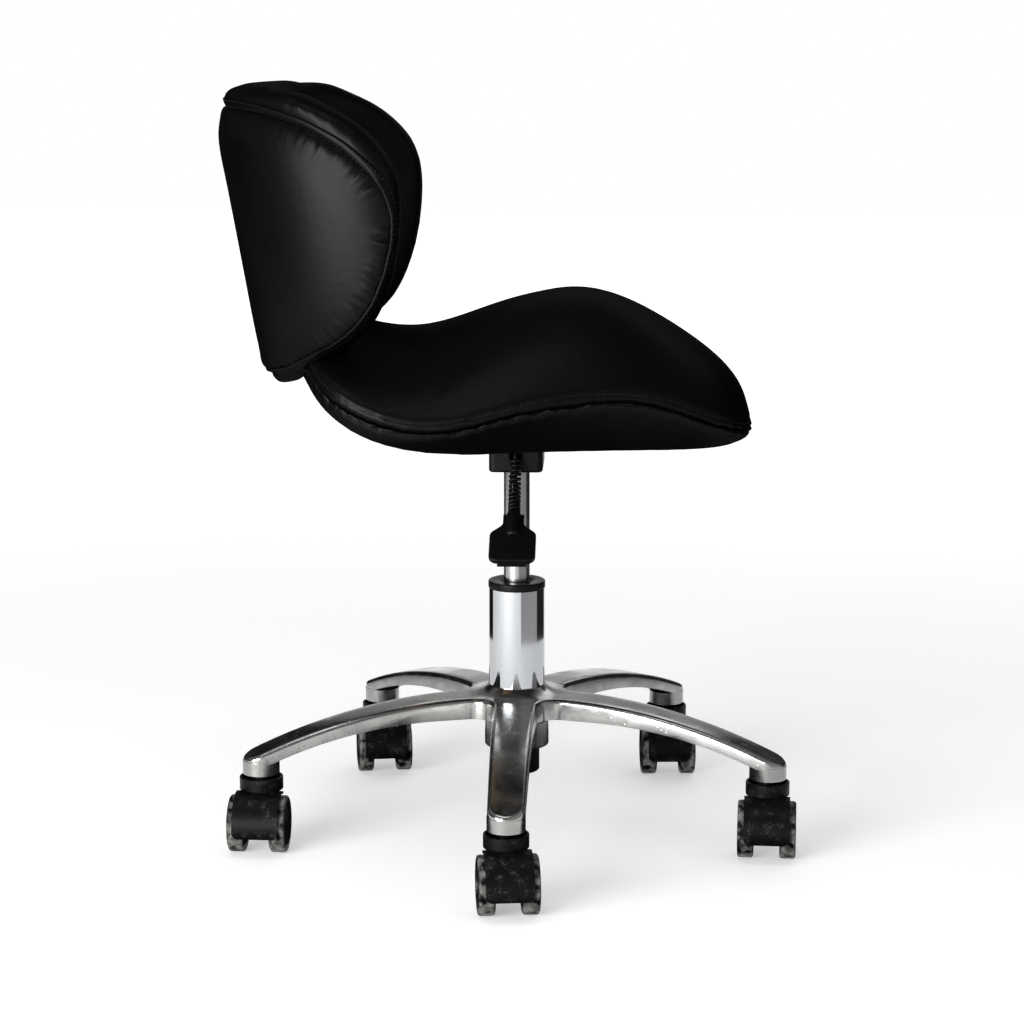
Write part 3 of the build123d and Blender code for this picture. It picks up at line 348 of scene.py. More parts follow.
def black_thread():
    """Bonded polyester sewing thread: matt, with the twist of its plies."""
    material, tree, shader, where = blank("black_thread", {"Roughness": 0.75, "Specular IOR Level": 0.2})
    twist = node(tree, "ShaderNodeTexNoise", {}, {"Scale": per(THREAD_TWIST)}, {"Vector": where})
    colour = node(
        tree, "ShaderNodeMix", {"data_type": "RGBA"},
        {MIX_A: srgb("030303"), MIX_B: srgb("1a1a1b")}, {MIX_FACTOR: twist.outputs["Fac"]},
    )
    tree.links.new(colour.outputs[MIX_COLOUR], shader.inputs["Base Color"])
    return material


FINISHES = {"black_vinyl": black_vinyl()}
thread = black_thread()
print("cover and thread:", FINISHES["black_vinyl"].name, thread.name)

# %% [markdown]
# The base is a die casting polished by hand on a wheel. Polishing leaves broad cloudy patches of more
# and less gloss, fine scratches, and the small pits of the casting skin, and all three make the
# reflections of the white room break up. The pits are drawn as short dips at the nuclei of a cell
# pattern.

# %% Polished aluminium
POLISH_CLOUD = 26.0
POLISH_SCRATCH = 1.4
CAST_PIT = 5.5


def polished_aluminium():
    material, tree, shader, where = blank("polished_cast_aluminium", {"Metallic": 1.0})
    cloud = node(
        tree, "ShaderNodeTexNoise", {}, {"Scale": per(POLISH_CLOUD), "Detail": 5.0}, {"Vector": where}
    )
    colour = node(
        tree, "ShaderNodeMix", {"data_type": "RGBA"},
        {MIX_A: srgb("878786"), MIX_B: srgb("b3b3b1")}, {MIX_FACTOR: cloud.outputs["Fac"]},
    )
    rough = node(
        tree, "ShaderNodeMapRange", {},
        {"From Min": 0.3, "From Max": 0.7, "To Min": 0.32, "To Max": 0.14}, {"Value": cloud.outputs["Fac"]},
    )
    cells = node(tree, "ShaderNodeTexVoronoi", {}, {"Scale": per(CAST_PIT)}, {"Vector": where})
    pit = node(
        tree, "ShaderNodeMapRange", {}, {"From Min": 0.0, "From Max": 0.16},
        {"Value": cells.outputs["Distance"]},
    )
    scratch = node(
        tree, "ShaderNodeTexNoise", {}, {"Scale": per(POLISH_SCRATCH), "Detail": 2.0}, {"Vector": where}
    )
    dips = node(
        tree, "ShaderNodeBump", {}, {"Strength": 0.5, "Distance": 0.35 * MM},
        {"Height": pit.outputs["Result"]},
    )
    skin = node(
        tree, "ShaderNodeBump", {}, {"Strength": 0.1, "Distance": 0.12 * MM},
        {"Height": scratch.outputs["Fac"], "Normal": dips.outputs["Normal"]},
    )
    tree.links.new(colour.outputs[MIX_COLOUR], shader.inputs["Base Color"])
    tree.links.new(rough.outputs["Result"], shader.inputs["Roughness"])
    tree.links.new(skin.outputs["Normal"], shader.inputs["Normal"])
    return material


FINISHES["polished_aluminium"] = polished_aluminium()
print("base:", FINISHES["polished_aluminium"].name)

# %% [markdown]
# Four steels: the cover sleeve is chrome plated and mirrors the room, the gas cylinder is ground and
# plated to a satin, pins, bolts and nuts are zinc plated, and the steel in the casters is blackened. They
# differ only in colour, gloss and the depth of their faint smears, so one function makes all four. The
# table gives each one's name, its duller and brighter colour, its least and most roughness and its ripple.

# %% Plated steels
STEEL_SMEAR = 22.0
SMEAR_DRAWN_OUT = (1.0, 1.0, 0.2)
STEELS = {
    "bright_chrome": ("chromium_plate", "abadb1", "cfd1d3", 0.03, 0.09, 0.05),
    "satin_chrome": ("ground_chrome_plate", "8f9092", "b8b9b9", 0.16, 0.3, 0.1),
    "zinc_steel": ("bright_zinc_plate", "9fa3a8", "cfd2d4", 0.25, 0.4, 0.15),
    "caster_steel": ("blackened_steel", "3a3b3d", "6a6b6d", 0.3, 0.45, 0.15),
}


def plated_steel(name, dull, bright, least_rough, most_rough, ripple):
    material, tree, shader, where = blank(name, {"Metallic": 1.0})
    stretch = node(tree, "ShaderNodeMapping", {}, {"Scale": SMEAR_DRAWN_OUT}, {"Vector": where})
    smear = node(
        tree, "ShaderNodeTexNoise", {}, {"Scale": per(STEEL_SMEAR), "Detail": 4.0},
        {"Vector": stretch.outputs["Vector"]},
    )
    colour = node(
        tree, "ShaderNodeMix", {"data_type": "RGBA"},
        {MIX_A: srgb(dull), MIX_B: srgb(bright)}, {MIX_FACTOR: smear.outputs["Fac"]},
    )
    rough = node(
        tree, "ShaderNodeMapRange", {}, {"To Min": least_rough, "To Max": most_rough},
        {"Value": smear.outputs["Fac"]},
    )
    skin = node(
        tree, "ShaderNodeBump", {}, {"Strength": ripple, "Distance": 0.1 * MM},
        {"Height": smear.outputs["Fac"]},
    )
    tree.links.new(colour.outputs[MIX_COLOUR], shader.inputs["Base Color"])
    tree.links.new(rough.outputs["Result"], shader.inputs["Roughness"])
    tree.links.new(skin.outputs["Normal"], shader.inputs["Normal"])
    return material


for slot, steel in STEELS.items():
    FINISHES[slot] = plated_steel(*steel)
print("steels:", ", ".join(STEELS))

# %% [markdown]
# The other black pieces are moulded, painted or felted. Moulds for casters are etched to a grain, so the
# plastic looks sandy, and years of floor dust sit in it and on the treads as paler specks. The pressed
# mechanism is powder coated, which flows to a faint orange peel, and the cloth under the seat is all
# fibres. One function covers them. The table gives each one's name, its dark colour, the colour of its
# dust and pale treads, its roughness, the size of its grain in millimetres, how deep that is, how much dust
# lies on it and how far its treads are rubbed pale, which is partly wear and partly a painted highlight.

# %% Black plastics, paint and cloth
DUST_PATCH = 9.0
DUST_SPECK = 1.1
BLACKS = {
    "black_steel": ("black_powder_coat", "060607", "151516", 0.42, 2.2, 0.25, 0.3, 0.0),
    "black_acetal": ("black_acetal", "0a0a0b", "262627", 0.34, 1.2, 0.12, 0.35, 0.0),
    "bumper_rubber": ("black_rubber", "0c0c0c", "222222", 0.75, 1.0, 0.3, 0.5, 0.0),
    "dust_cloth": ("black_nonwoven_cloth", "070707", "1d1d1e", 0.95, 0.9, 0.6, 0.6, 0.0),
    "caster_nylon": ("moulded_black_nylon", "060607", "5a5a58", 0.4, 0.9, 0.5, 0.45, 0.0),
    # The wheels' pale treads are partly wear and partly a painted highlight.
    "wheel_nylon": ("black_nylon_with_rub_and_painted_sheen", "060607", "8c8b88", 0.45, 1.0, 0.45, 0.4, 0.55),
}


def dusty_black(name, dark, pale, roughness, grain, relief, dust, tread_rub_and_sheen):
    material, tree, shader, where = blank(name, {
        "IOR": 1.5,
        "Specular IOR Level": 0.1,
        "Roughness": roughness,
    })
    texture = node(tree, "ShaderNodeTexNoise", {}, {"Scale": per(grain), "Detail": 3.0}, {"Vector": where})
    patch = node(
        tree, "ShaderNodeTexNoise", {}, {"Scale": per(DUST_PATCH), "Detail": 4.0}, {"Vector": where}
    )
    speck = node(
        tree, "ShaderNodeTexNoise", {}, {"Scale": per(DUST_SPECK), "Detail": 2.0}, {"Vector": where}
    )
    grit = node(
        tree, "ShaderNodeMath", {"operation": "MULTIPLY"},
        links={0: patch.outputs["Fac"], 1: speck.outputs["Fac"]},
    )
    amount = node(
        tree, "ShaderNodeMapRange", {}, {"From Min": 0.31, "From Max": 0.46, "To Max": dust},
        {"Value": grit.outputs[0]},
    )
    tread = node(tree, "ShaderNodeAttribute", {"attribute_name": "tread"})
    # How pale the treads are: partly wear, partly a painted highlight of the light on them.
    rubbing_and_sheen = node(
        tree, "ShaderNodeMapRange", {}, {"From Min": 0.4, "From Max": 0.62, "To Max": tread_rub_and_sheen},
        {"Value": patch.outputs["Fac"]},
    )
    rub_and_sheen_share = node(
        tree, "ShaderNodeMath", {"operation": "MULTIPLY_ADD"},
        links={0: tread.outputs["Fac"], 1: rubbing_and_sheen.outputs["Result"], 2: amount.outputs["Result"]},
    )
    colour = node(
        tree, "ShaderNodeMix", {"data_type": "RGBA"},
        {MIX_A: srgb(dark), MIX_B: srgb(pale)}, {MIX_FACTOR: rub_and_sheen_share.outputs[0]},
    )
    skin = node(
        tree, "ShaderNodeBump", {}, {"Strength": relief, "Distance": 0.3 * MM},
        {"Height": texture.outputs["Fac"]},
    )
    tree.links.new(colour.outputs[MIX_COLOUR], shader.inputs["Base Color"])
    tree.links.new(skin.outputs["Normal"], shader.inputs["Normal"])
    return material


for slot, black in BLACKS.items():
    FINISHES[slot] = dusty_black(*black)
print("blacks:", ", ".join(BLACKS))

# %% [markdown]
# The seat pan and the shell inside the back are bent plywood. They stay hidden under the cover, but a
# part may be opened up, so they still get their face veneer: long bands of early and late wood.

# %% Plywood
VENEER_BAND = 14.0
VENEER_DRAWN_OUT = (0.08, 1.0, 1.0)


def birch_plywood():
    material, tree, shader, where = blank("birch_plywood", {"Roughness": 0.6})
    along = node(tree, "ShaderNodeMapping", {}, {"Scale": VENEER_DRAWN_OUT}, {"Vector": where})
    band = node(
        tree, "ShaderNodeTexNoise", {}, {"Scale": per(VENEER_BAND), "Detail": 6.0},
        {"Vector": along.outputs["Vector"]},
    )
    colour = node(
        tree, "ShaderNodeMix", {"data_type": "RGBA"},
        {MIX_A: srgb("b98f5c"), MIX_B: srgb("e0c193")}, {MIX_FACTOR: band.outputs["Fac"]},
    )
    tree.links.new(colour.outputs[MIX_COLOUR], shader.inputs["Base Color"])
    return material


FINISHES["plywood"] = birch_plywood()
print("finishes:", ", ".join(FINISHES))

# %% [markdown]
# A solid arrives as loose triangles, which shade flat. A dressed copy has its doubled points merged and
# its round faces smoothed, with edges left crisp where two faces meet at an angle, and it then stands for
# the solid.

# %% Dress the hard pieces
MERGE = 0.002 * MM
CRISP_ANGLE = math.radians(32)
SOFT_NODES = ("seat_cushion", "seat_lower_body", "back_pad", "back_panel", "seat_dust_cover")
slot_of = {entry["node"]: entry["material_slot"] for entry in frame["record"]["subparts"]}
body_of = {name: body for body, names in frame["record"]["behaviour"]["bodies"].items() for name in names}


def merged_copy(solid, name):
    """Object that copies a solid, with the doubled points of its loose triangles merged."""
    mesh = frame["nodes"][solid].data.copy()
    mesh.name = name
    work = bmesh.new()
    work.from_mesh(mesh)
    bmesh.ops.remove_doubles(work, verts=work.verts, dist=MERGE)
    for face in work.faces:
        face.smooth = True
    for edge in work.edges:
        edge.smooth = edge.calc_face_angle(math.pi) < CRISP_ANGLE
    work.to_mesh(mesh)
    work.free()
    return add_object(name, mesh)


def settle(piece, body, slot, *solids):
    """Give a piece its finish, let it ride on its body, and let it stand for its solids."""
    piece.data.materials.clear()
    piece.data.materials.append(FINISHES[slot])
    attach(piece, body)
    if solids:
        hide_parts(*solids)


for solid in sorted(frame["nodes"]):
    if solid not in SOFT_NODES:
        settle(merged_copy(solid, solid + "_finished"), body_of[solid], slot_of[solid], solid)
print("hard pieces dressed:", len(frame["nodes"]) - len(SOFT_NODES))

# %% [markdown]
# Treads pick up floor dust where they roll and rub pale there, and their paleness is also a painted
# highlight of the light that falls on them. The wheel's finish reads how near a point is to the tread from
# an attribute on the mesh, which is worked out from the distance to its axle.

# %% Worn treads with a painted highlight
TREAD_FROM, TREAD_TO = 26.0 * MM, 30.0 * MM


def ramp(value, start, end):
    """0 up to the start, 1 from the end on, and straight between them."""
    return min(1.0, max(0.0, (value - start) / (end - start)))


spin_of = {joint["child"]: joint for joint in frame["joints"] if joint["name"].endswith("_spin")}
for body, joint in spin_of.items():
    for solid in frame["record"]["behaviour"]["bodies"][body]:
        mesh = bpy.data.objects[solid + "_finished"].data
        axle = Vector(joint["pos_m"])
        line = Vector(joint["axis"]).normalized()
        tread = mesh.attributes.new("tread", "FLOAT", "POINT")
        for vertex, rub_and_sheen_share in zip(mesh.vertices, tread.data):
            arm = vertex.co - axle
            reach = (arm - line * arm.dot(line)).length
            rub_and_sheen_share.value = ramp(reach, TREAD_FROM, TREAD_TO)
print("worn treads:", len(spin_of))

# %% [markdown]
# Foam under a sewn cover is best made the way it is made in the shop: start from the cut shape, close it,
# and let it fill. The solid is copied, remeshed to even squares, shrunk a little, and blown up as a cloth
# skin with air inside. Points at the seam are held, and no point may move far, so the shape stays true.
# A subdivision then rounds it, and sewn lines are pressed in last, because remeshing would wipe them out.

# %% Filling
FILL_FRAMES = 20
SHRINK, PRESSURE = 2.0 * MM, 4.0
STEP_ROUNDS = 3


def evaluated(piece):
    """Mesh of an object with its modifiers applied."""
    graph = bpy.context.evaluated_depsgraph_get()
    return bpy.data.meshes.new_from_object(piece.evaluated_get(graph))


def apply_modifiers(piece):
    """Leave a piece with its final mesh and no modifiers."""
    mesh = evaluated(piece)
    piece.modifiers.clear()
    piece.data = mesh


def even_squares(piece, voxel):
    """Remesh a piece to squares of one size, closed all round."""
    remesh = piece.modifiers.new("even squares", "REMESH")
    remesh.mode = "VOXEL"
    remesh.voxel_size = voxel
    apply_modifiers(piece)
    return piece


def smooth(piece, rounds):
    """Take the steps out of a remeshed piece."""
    work = bmesh.new()
    work.from_mesh(piece.data)
    for _ in range(rounds):
        bmesh.ops.smooth_vert(
            work, verts=work.verts, factor=0.5, use_axis_x=True, use_axis_y=True, use_axis_z=True
        )
    work.to_mesh(piece.data)
    work.free()


def fill(piece, held, cap):
    """Blow a piece up from a slightly smaller shape, and let no point move further than the cap."""
    group = piece.vertex_groups.new(name="held")
    start = []
    for vertex in piece.data.vertices:
        share = held(vertex.co)
        group.add([vertex.index], share, "REPLACE")
        start.append(vertex.co - vertex.normal * SHRINK * (1.0 - share))
    for vertex, place in zip(piece.data.vertices, start):
        vertex.co = place
    skin = piece.modifiers.new("skin", "CLOTH")
    skin.settings.vertex_group_mass = group.name
    skin.settings.use_pressure = True
    skin.settings.uniform_pressure_force = PRESSURE
    skin.settings.effector_weights.gravity = 0.0
    for count in range(1, FILL_FRAMES + 1):
        bpy.context.scene.frame_set(count)
    blown = evaluated(piece)
    piece.modifiers.clear()
    piece.vertex_groups.clear()
    furthest = 0.0
    for vertex, place, end in zip(piece.data.vertices, start, blown.vertices):
        move = end.co - place
        furthest = max(furthest, move.length)
        vertex.co = place + move * (cap / max(move.length, cap))
    bpy.context.scene.frame_set(1)
    print(f"{piece.name}: free fill {furthest / MM:.1f} mm, capped at {cap / MM:.1f} mm")


def refine(piece):
    """Round a filled piece by one subdivision."""
    finer = piece.modifiers.new("finer", "SUBSURF")
    finer.levels = finer.render_levels = 1
    apply_modifiers(piece)
    piece.data.shade_smooth()


print("frames of filling:", FILL_FRAMES)

# %% [markdown]
# A sewn line draws the cover down, and where more cloth is gathered into a seam than it needs, small folds
# run out from it. Both are moves of the finished mesh by how far a point lies from the line. The folds come
# from a noise that is read along the line, once broad and once fine, and die out both at the seam, where
# the cloth is sewn flat, and away from it.

# %% Sewn lines and gathers
SEAM_STEP = 1.0 * MM
GONE = 3.0
SEWN_FLAT = 4.0 * MM
FOLD_RUN, FINE_RUN = 4.0, 2.0
FINE_SHARE, FINE_SPACING, FINE_LAYER = 0.5, 2.1, 7.0


def finder(points):
    """Tree that finds the nearest of some points."""
    tree = KDTree(len(points))
    for index, place in enumerate(points):
        tree.insert(place, index)
    tree.balance()
    return tree


def press(piece, line, width, depth):
    """Sink the surface along a sewn line."""
    tree = finder(line)
    moves = []
    for vertex in piece.data.vertices:
        gap = tree.find(vertex.co)[2]
        sink = depth * math.exp(-((gap / width) ** 2)) if gap < GONE * width else 0.0
        moves.append(vertex.normal * sink)
    for vertex, move in zip(piece.data.vertices, moves):
        vertex.co -= move


def pucker(piece, line, spacing, reach, depth, share):
    """Small folds that run out square from a gathered seam, as deep as share says at a place."""
    tree = finder(line)
    moves = []
    for vertex in piece.data.vertices:
        place, index, gap = tree.find(vertex.co)
        move = Vector((0.0, 0.0, 0.0))
        if gap < GONE * reach:
            run = index * SEAM_STEP
            fold = noise.noise((run / spacing, gap / (FOLD_RUN * reach), 0.0))
            fine = (run / spacing * FINE_SPACING, gap / (FINE_RUN * reach), FINE_LAYER)
            fold += FINE_SHARE * noise.noise(fine)
            spread = math.exp(-((gap / reach) ** 2)) - math.exp(-((gap / SEWN_FLAT) ** 2))
            move = vertex.normal * depth * fold * max(0.0, spread) * share(place)
        moves.append(move)
    for vertex, move in zip(piece.data.vertices, moves):
        vertex.co += move


print("gathers lie flat within mm of a seam:", SEWN_FLAT / MM)

# %% [markdown]
# Every seam is one smooth curve through a few places, read back as points one millimetre apart. Stitches
# are laid along it as small slanted beads of thread. Each has two dozen faces, because there are hundreds.

# %% Seams and stitches
STITCH_LENGTH, STITCH_PITCH = 3.4 * MM, 5.0 * MM
STITCH_WIDTH, STITCH_HEIGHT = 0.9 * MM, 0.7 * MM
STITCH_SLANT = math.radians(7)
CURVE_STEPS = 40


def smooth_line(places, closed=False):
    """Points one step apart on a smooth curve through some places."""
    data = bpy.data.curves.new("seam", "CURVE")
    data.dimensions = "3D"
    data.resolution_u = CURVE_STEPS
    spline = data.splines.new("BEZIER")
    spline.bezier_points.add(len(places) - 1)
    spline.use_cyclic_u = closed
    for knot, place in zip(spline.bezier_points, places):
        knot.co = place
        knot.handle_left_type = knot.handle_right_type = "AUTO"
    holder = add_object("seam", data)
    dense = [vertex.co.copy() for vertex in evaluated(holder).vertices]
    bpy.data.objects.remove(holder)
    if closed:
        dense.append(dense[0])
    points = [dense[0]]
    for start, end in zip(dense, dense[1:]):
        while (end - points[-1]).length >= SEAM_STEP:
            points.append(points[-1] + (end - points[-1]).normalized() * SEAM_STEP)
    return points


def surface_of(*pieces):
    """Tree that finds the nearest place on some pieces."""
    work = bmesh.new()
    for piece in pieces:
        work.from_mesh(piece.data)
    tree = BVHTree.FromBMesh(work)
    work.free()
    return tree


def laid(line, surface):
    """Where a line lands on a surface, with the surface's outward direction there."""
    return [surface.find_nearest(place)[:2] for place in line]


def stitches(name, landed):
    """Row of stitches along a line that is laid on a surface."""
    work = bmesh.new()
    step = round(STITCH_PITCH / SEAM_STEP)
    half = round(STITCH_LENGTH / SEAM_STEP / 2)
    size = Matrix.Diagonal((STITCH_WIDTH / 2, STITCH_HEIGHT / 2, STITCH_LENGTH / 2, 1.0))
    count = 0
    for middle in range(half, len(landed) - half, step):
        place, out = landed[middle]
        along = (landed[middle + half][0] - landed[middle - half][0]).normalized()
        across = out.cross(along).normalized()
        out = along.cross(across)
        turn = Matrix((across, out, along)).transposed().to_4x4()
        slant = Matrix.Rotation(STITCH_SLANT, 4, "Y")
        bmesh.ops.create_uvsphere(
            work, u_segments=6, v_segments=4, radius=1.0,
            matrix=Matrix.Translation(place) @ turn @ slant @ size,
        )
        count += 1
    piece = mesh_object(name, work)
    piece.data.shade_smooth()
    piece.data.materials.append(thread)
    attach(piece, "seat")
    print(f"{name}: {count} stitches")


print("stitch pitch in mm:", STITCH_PITCH / MM)

# %% [markdown]
# The seat is a saddle: a crowned top sewn to a lower body that draws in towards the flat underside. The
# seam follows the widest line, dips at the thighs and closes under the nose. A row of stitches a finger's
# breadth above it holds the top down, and a row below it holds the border. The seam is given on one side
# by its places from back to front, as x, half width and height in millimetres, and mirrored.

# %% Seat
SEAT_SEAM = [
    (-226, 92, 533), (-203, 137, 511), (-178, 168, 489), (-140, 184, 471), (-90, 188, 460.5),
    (-35, 184, 467), (30, 171, 481.5), (90, 157, 487.5), (150, 142, 480.5), (200, 122, 461.5),
    (230, 95, 450), (243, 62, 444), (247.5, 30, 443),
]
VOXEL = 4.5 * MM
ROW_ABOVE, ROW_BELOW = 9.0 * MM, 6.5 * MM
ROW_WIDTH, ROW_DEPTH = 2.4 * MM, 0.9 * MM
HELD_RISE, FREE_RISE = 3.0 * MM, 16.0 * MM
SEAM_CLOSE_WIDTH, SEAM_CLOSE, CLOSED_ROUNDS = 6.0 * MM, 1.6 * MM, 2
SEAT_CAP = 4.5 * MM
UP = Vector((0.0, 0.0, 1.0))

near_side = [Vector((x, -half, z)) * MM for x, half, z in SEAT_SEAM]
far_side = [Vector((p.x, -p.y, p.z)) for p in reversed(near_side)]
seat_seam = smooth_line(near_side + far_side)
seat_seam_tree = finder(seat_seam)


def held_at_seat_seam(place):
    """1 at and below the seam, falling to 0 a little above it."""
    rise = place.z - seat_seam_tree.find(place)[0].z
    return 1.0 - ramp(rise, HELD_RISE, FREE_RISE)


cushion = even_squares(merged_copy("seat_cushion", "seat_top_cover"), VOXEL)
smooth(cushion, STEP_ROUNDS)
fill(cushion, held_at_seat_seam, SEAT_CAP)
press(cushion, seat_seam, SEAM_CLOSE_WIDTH, -SEAM_CLOSE)
smooth(cushion, CLOSED_ROUNDS)
refine(cushion)
lower_body = even_squares(merged_copy("seat_lower_body", "seat_lower_cover"), VOXEL)
smooth(lower_body, STEP_ROUNDS)
press(lower_body, seat_seam, SEAM_CLOSE_WIDTH, -SEAM_CLOSE)
refine(lower_body)
upper_row = [place for place, _ in laid([p + UP * ROW_ABOVE for p in seat_seam], surface_of(cushion))]
lower_row = [place for place, _ in laid([p - UP * ROW_BELOW for p in seat_seam], surface_of(lower_body))]
press(cushion, upper_row, ROW_WIDTH, ROW_DEPTH)
press(lower_body, lower_row, ROW_WIDTH, ROW_DEPTH)
pucker(lower_body, seat_seam, spacing=8.0 * MM, reach=9.0 * MM, depth=0.8 * MM, share=lambda place: 1.0)
settle(cushion, "seat", "black_vinyl", "seat_cushion")
settle(lower_body, "seat", "black_vinyl", "seat_lower_body")
stitches("seat_upper_stitches", laid(upper_row, surface_of(cushion)))
stitches("seat_lower_stitches", laid(lower_row, surface_of(lower_body)))
print("seat seam in mm:", len(seat_seam))

# %% [markdown]
# The back is a pad that wraps the sitter and a puffed outer panel sewn to it round the edge. Both bend
# round one axis, which leans, so a place on them is a height, an angle and a distance from that axis. The
# table follows the edge from the bottom to the top of one wing: the height, the angle where the panel is
# cut, the angle where it is sewn and the seam's distance from the axis, in millimetres and degrees.

# %% Seam of the back
BACK_RADIUS, BACK_REAR_X, BACK_REAR_Z = 197.0 * MM, -311.0 * MM, 741.0 * MM
BACK_LEAN = math.tan(math.radians(10.1))
BACK_EDGE = [
    (502, 5, 5, 189), (504, 13, 20, 188), (515, 24, 34, 179), (535, 41.5, 50.2, 175), (560, 59, 64.2, 172),
    (592, 70, 73.9, 171), (624, 76.2, 80, 171), (660, 80.7, 84.4, 171), (700, 82, 84.6, 173),
    (735, 75, 76.5, 177), (758, 64, 65, 178), (770, 54, 54.5, 180), (778, 39, 39, 182.5),
    (779.5, 14, 14, 183),
]


def back_centre(height):
    """How far along x the axis of the back's curve lies, at a height."""
    return BACK_REAR_X + BACK_RADIUS + (BACK_REAR_Z - height) * BACK_LEAN


def back_place(height, angle, radius):
    """Point of the back at a height, an angle round its curve and a distance from the curve's axis."""
    turn = math.radians(angle)
    return Vector((back_centre(height) - radius * math.cos(turn), radius * math.sin(turn), height))


def edge_at(height):
    """Angles where the panel is cut and where it is sewn, at a height."""
    rows = zip(BACK_EDGE, BACK_EDGE[1:])
    low, high = next(((a, b) for a, b in rows if height <= b[0] * MM), BACK_EDGE[-2:])
    share = ramp(height / MM, low[0], high[0])
    return [low[i] + (high[i] - low[i]) * share for i in (1, 2)]


near_edge = [back_place(z * MM, -sewn, r * MM) for z, _, sewn, r in BACK_EDGE]
far_edge = [Vector((p.x, -p.y, p.z)) for p in reversed(near_edge)]
back_seam = smooth_line(near_edge + far_edge, closed=True)
back_seam_tree = finder(back_seam)
print("back seam in mm:", len(back_seam))

# %% [markdown]
# The panel's rim is drawn round the pad's rolled edge and tucked into it, because that is where the real
# cover is sewn, and the pad sinks a little under it. Then both are filled like the seat. The gathers are
# what make it look sewn: small folds run in from the seam, deepest at the front of the wings where the
# panel turns most sharply.

# %% Covers of the back
BACKED_FROM, RIM_BACKING = 0.2, 5.0 * MM
RIM_FROM, RIM_TUCK = 0.85, 5.0 * MM
DOME_RISE, DOME_WIDTH = 27.0 * MM, 85.0 * MM
CREST_FROM, CREST_TO, CREST_SINK = 742.0 * MM, 779.0 * MM, 6.0 * MM
PAD_SINK, SINK_FROM, SINK_WIDTH, SINK_RISE = 5.0 * MM, 1.5, 4.0, 16.0 * MM
PAD_OUTSIDE, PAD_ROUNDS = 165.0 * MM, 8
PANEL_HELD, PANEL_FREE = 5.0 * MM, 24.0 * MM
PAD_HELD, PAD_FREE = 30.0 * MM, 60.0 * MM
CLOSE_WIDTH, BACK_CLOSE = 10.0 * MM, 1.5 * MM
BACK_CAP = 5.0 * MM
GATHER_LEAST, GATHER_FROM, GATHER_TO = 0.35, -220.0 * MM, -140.0 * MM


def round_axis(place):
    """Angle round the back's curve, in degrees, and distance from the curve's axis."""
    arm = back_centre(place.z) - place.x
    return math.degrees(math.atan2(abs(place.y), arm)), math.hypot(arm, place.y)


def backed(piece):
    """Let the panel's inner face reach deeper, so that its thin rim is thick enough for even squares."""
    for vertex in piece.data.vertices:
        inward = Vector((back_centre(vertex.co.z) - vertex.co.x, -vertex.co.y, 0.0)).normalized()
        if vertex.normal.dot(inward) > BACKED_FROM:
            vertex.co += inward * RIM_BACKING
    return piece


def draw_to_seam(piece):
    """Draw the outer half of the panel round the pad's edge, tuck its rim in, and dome it."""
    for vertex in piece.data.vertices:
        angle, radius = round_axis(vertex.co)
        cut, sewn = edge_at(vertex.co.z)
        out = ramp(2.0 * angle / cut, 1.0, 2.0)
        tuck = ramp(out, RIM_FROM, 1.0)
        drawn = math.copysign(angle + (sewn - cut) * out ** 2, vertex.co.y)
        place = back_place(vertex.co.z, drawn, radius - RIM_TUCK * tuck ** 2)
        sewn_at, _, gap = back_seam_tree.find(place)
        dome = DOME_RISE * math.sqrt(1.0 - (1.0 - min(1.0, gap / DOME_WIDTH)) ** 2)
        crest = ramp(vertex.co.z, CREST_FROM, CREST_TO)
        radius = round_axis(place)[1] - CREST_SINK * crest ** 2
        vertex.co = back_place(vertex.co.z, drawn, min(radius, round_axis(sewn_at)[1] + dome))


def sink_under_panel(piece):
    """Lower the pad's outer face where the panel covers it, so that no fold of the panel dips under it."""
    for vertex in piece.data.vertices:
        angle, radius = round_axis(vertex.co)
        covered = (edge_at(vertex.co.z)[1] - SINK_FROM - angle) / SINK_WIDTH
        in_height = BACK_EDGE[0][0] * MM < vertex.co.z < CREST_TO
        if covered > 0.0 and radius > PAD_OUTSIDE and in_height:
            radius -= PAD_SINK * min(1.0, covered, (CREST_TO - vertex.co.z) / SINK_RISE)
            vertex.co = back_place(vertex.co.z, math.copysign(angle, vertex.co.y), radius)


def held_near(held, free):
    """Share that is 1 out to one distance from the back's seam, and falls to 0 at another."""
    return lambda place: 1.0 - ramp(back_seam_tree.find(place)[2], held, free)


def gathered(place):
    """How strongly the seam is gathered: most at the front of the wings."""
    return GATHER_LEAST + (1.0 - GATHER_LEAST) * ramp(place.x, GATHER_FROM, GATHER_TO)


panel = even_squares(backed(merged_copy("back_panel", "back_outer_cover")), VOXEL)
pad = even_squares(merged_copy("back_pad", "back_inner_cover"), VOXEL)
draw_to_seam(panel)
sink_under_panel(pad)
for piece, rounds, held in (
    (panel, STEP_ROUNDS, held_near(PANEL_HELD, PANEL_FREE)),
    (pad, PAD_ROUNDS, held_near(PAD_HELD, PAD_FREE)),
):
    smooth(piece, rounds)
    fill(piece, held, BACK_CAP)
    press(piece, back_seam, CLOSE_WIDTH, -BACK_CLOSE)
    smooth(piece, STEP_ROUNDS)
    refine(piece)
pucker(panel, back_seam, spacing=7.0 * MM, reach=15.0 * MM, depth=3.0 * MM, share=gathered)
pucker(pad, back_seam, spacing=8.0 * MM, reach=8.0 * MM, depth=0.35 * MM, share=gathered)
settle(panel, "seat", "black_vinyl", "back_panel")
settle(pad, "seat", "black_vinyl", "back_pad")
print("points of the back's covers:", len(panel.data.vertices), len(pad.data.vertices))

# %% [markdown]
# A flat felled band covers the seam, with a row of stitches on each side of its middle. It is one small
# oval ring, extruded from place to place round the seam and closed on itself. The places where the seam
# lands on the gathered covers are averaged first, because a band is stiffer than the folds under it.

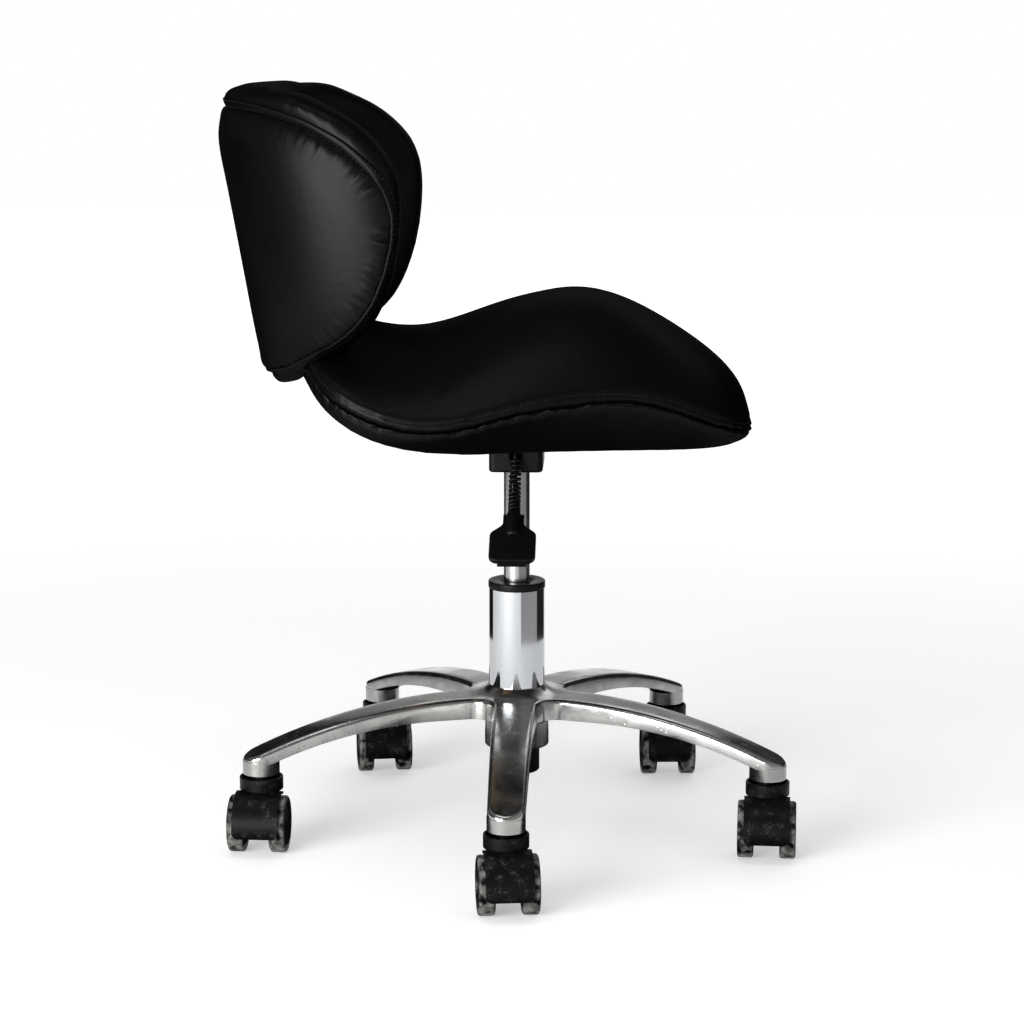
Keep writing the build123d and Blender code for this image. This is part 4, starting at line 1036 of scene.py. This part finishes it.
# %% Felled band
BAND_HALF, BAND_RISE, BAND_LIFT = 4.8 * MM, 1.9 * MM, 0.5 * MM
BAND_ROW, BAND_ROW_LIFT = 3.3 * MM, 0.7 * BAND_RISE
BAND_SIDES, BAND_STEP, BAND_EVEN = 8, 3, 9


def evened(landed, reach):
    """Line laid on a surface, with its places and directions averaged over their neighbours."""
    total = len(landed)
    even = []
    for index in range(total):
        near = [landed[(index + step) % total] for step in range(-reach, reach + 1)]
        place = sum((p for p, _ in near), Vector()) / len(near)
        even.append((place, sum((out for _, out in near), Vector()).normalized()))
    return even


def beside(landed, aside, lift):
    """Line that runs beside another on a band: aside across it and lift above it."""
    row = []
    for index, (place, out) in enumerate(landed):
        along = landed[(index + 1) % len(landed)][0] - landed[index - 1][0]
        row.append((place + out.cross(along).normalized() * aside + out * lift, out))
    return row


def felled_band(name, landed):
    """Flat band laid along a seam: a small oval ring, extruded from one place to the next."""
    work = bmesh.new()
    ring = bmesh.ops.create_circle(work, segments=BAND_SIDES, radius=1.0)["verts"]
    edges = list(work.edges)
    rings = [ring]
    stops = landed[::BAND_STEP]
    for _ in stops[1:]:
        grown = bmesh.ops.extrude_edge_only(work, edges=edges)["geom"]
        edges = [item for item in grown if isinstance(item, bmesh.types.BMEdge)]
        rings.append([item for item in grown if isinstance(item, bmesh.types.BMVert)])
    for index, verts in enumerate(rings):
        place, out = stops[index]
        along = (stops[(index + 1) % len(stops)][0] - stops[index - 1][0]).normalized()
        across = out.cross(along).normalized()
        out = along.cross(across)
        for step, vert in enumerate(verts):
            turn = 2.0 * math.pi * step / BAND_SIDES
            vert.co = place + across * BAND_HALF * math.cos(turn) + out * BAND_RISE * math.sin(turn)
    bmesh.ops.bridge_loops(work, edges=edges + [e for e in work.edges if e.is_boundary and e not in edges])
    bmesh.ops.recalc_face_normals(work, faces=work.faces)
    piece = mesh_object(name, work)
    piece.data.shade_smooth()
    return piece


band_path = beside(evened(laid(back_seam, surface_of(panel, pad)), BAND_EVEN), 0.0, BAND_LIFT)
settle(felled_band("back_seam_band", band_path), "seat", "black_vinyl")
stitches("back_panel_stitches", beside(band_path, -BAND_ROW, BAND_ROW_LIFT))
stitches("back_pad_stitches", beside(band_path, BAND_ROW, BAND_ROW_LIFT))

# %% [markdown]
# A black nonwoven cloth closes the underside. It is cut to size with a window for the mechanism's plate
# and stretched over the bottom of the pan, where it keeps shallow ripples. The solid's few large faces
# can't ripple, so its long edges are divided until none is longer than a cell.

# %% Dust cover
CLOTH_RIPPLE, CLOTH_WAVE = 0.5 * MM, 17.0 * MM
CLOTH_CELL = 6.0 * MM
CLOTH_ROUNDS = 6

cloth = merged_copy("seat_dust_cover", "underside_cloth")
work = bmesh.new()
work.from_mesh(cloth.data)
for _ in range(CLOTH_ROUNDS):
    wide = [edge for edge in work.edges if edge.calc_length() > CLOTH_CELL]
    bmesh.ops.subdivide_edges(work, edges=wide, cuts=1)
for vert in work.verts:
    vert.co.z += CLOTH_RIPPLE * noise.noise((vert.co.x / CLOTH_WAVE, vert.co.y / CLOTH_WAVE, 0.0))
work.to_mesh(cloth.data)
work.free()
settle(cloth, "seat", "dust_cloth", "seat_dust_cover")
print("points of the dust cloth:", len(cloth.data.vertices))
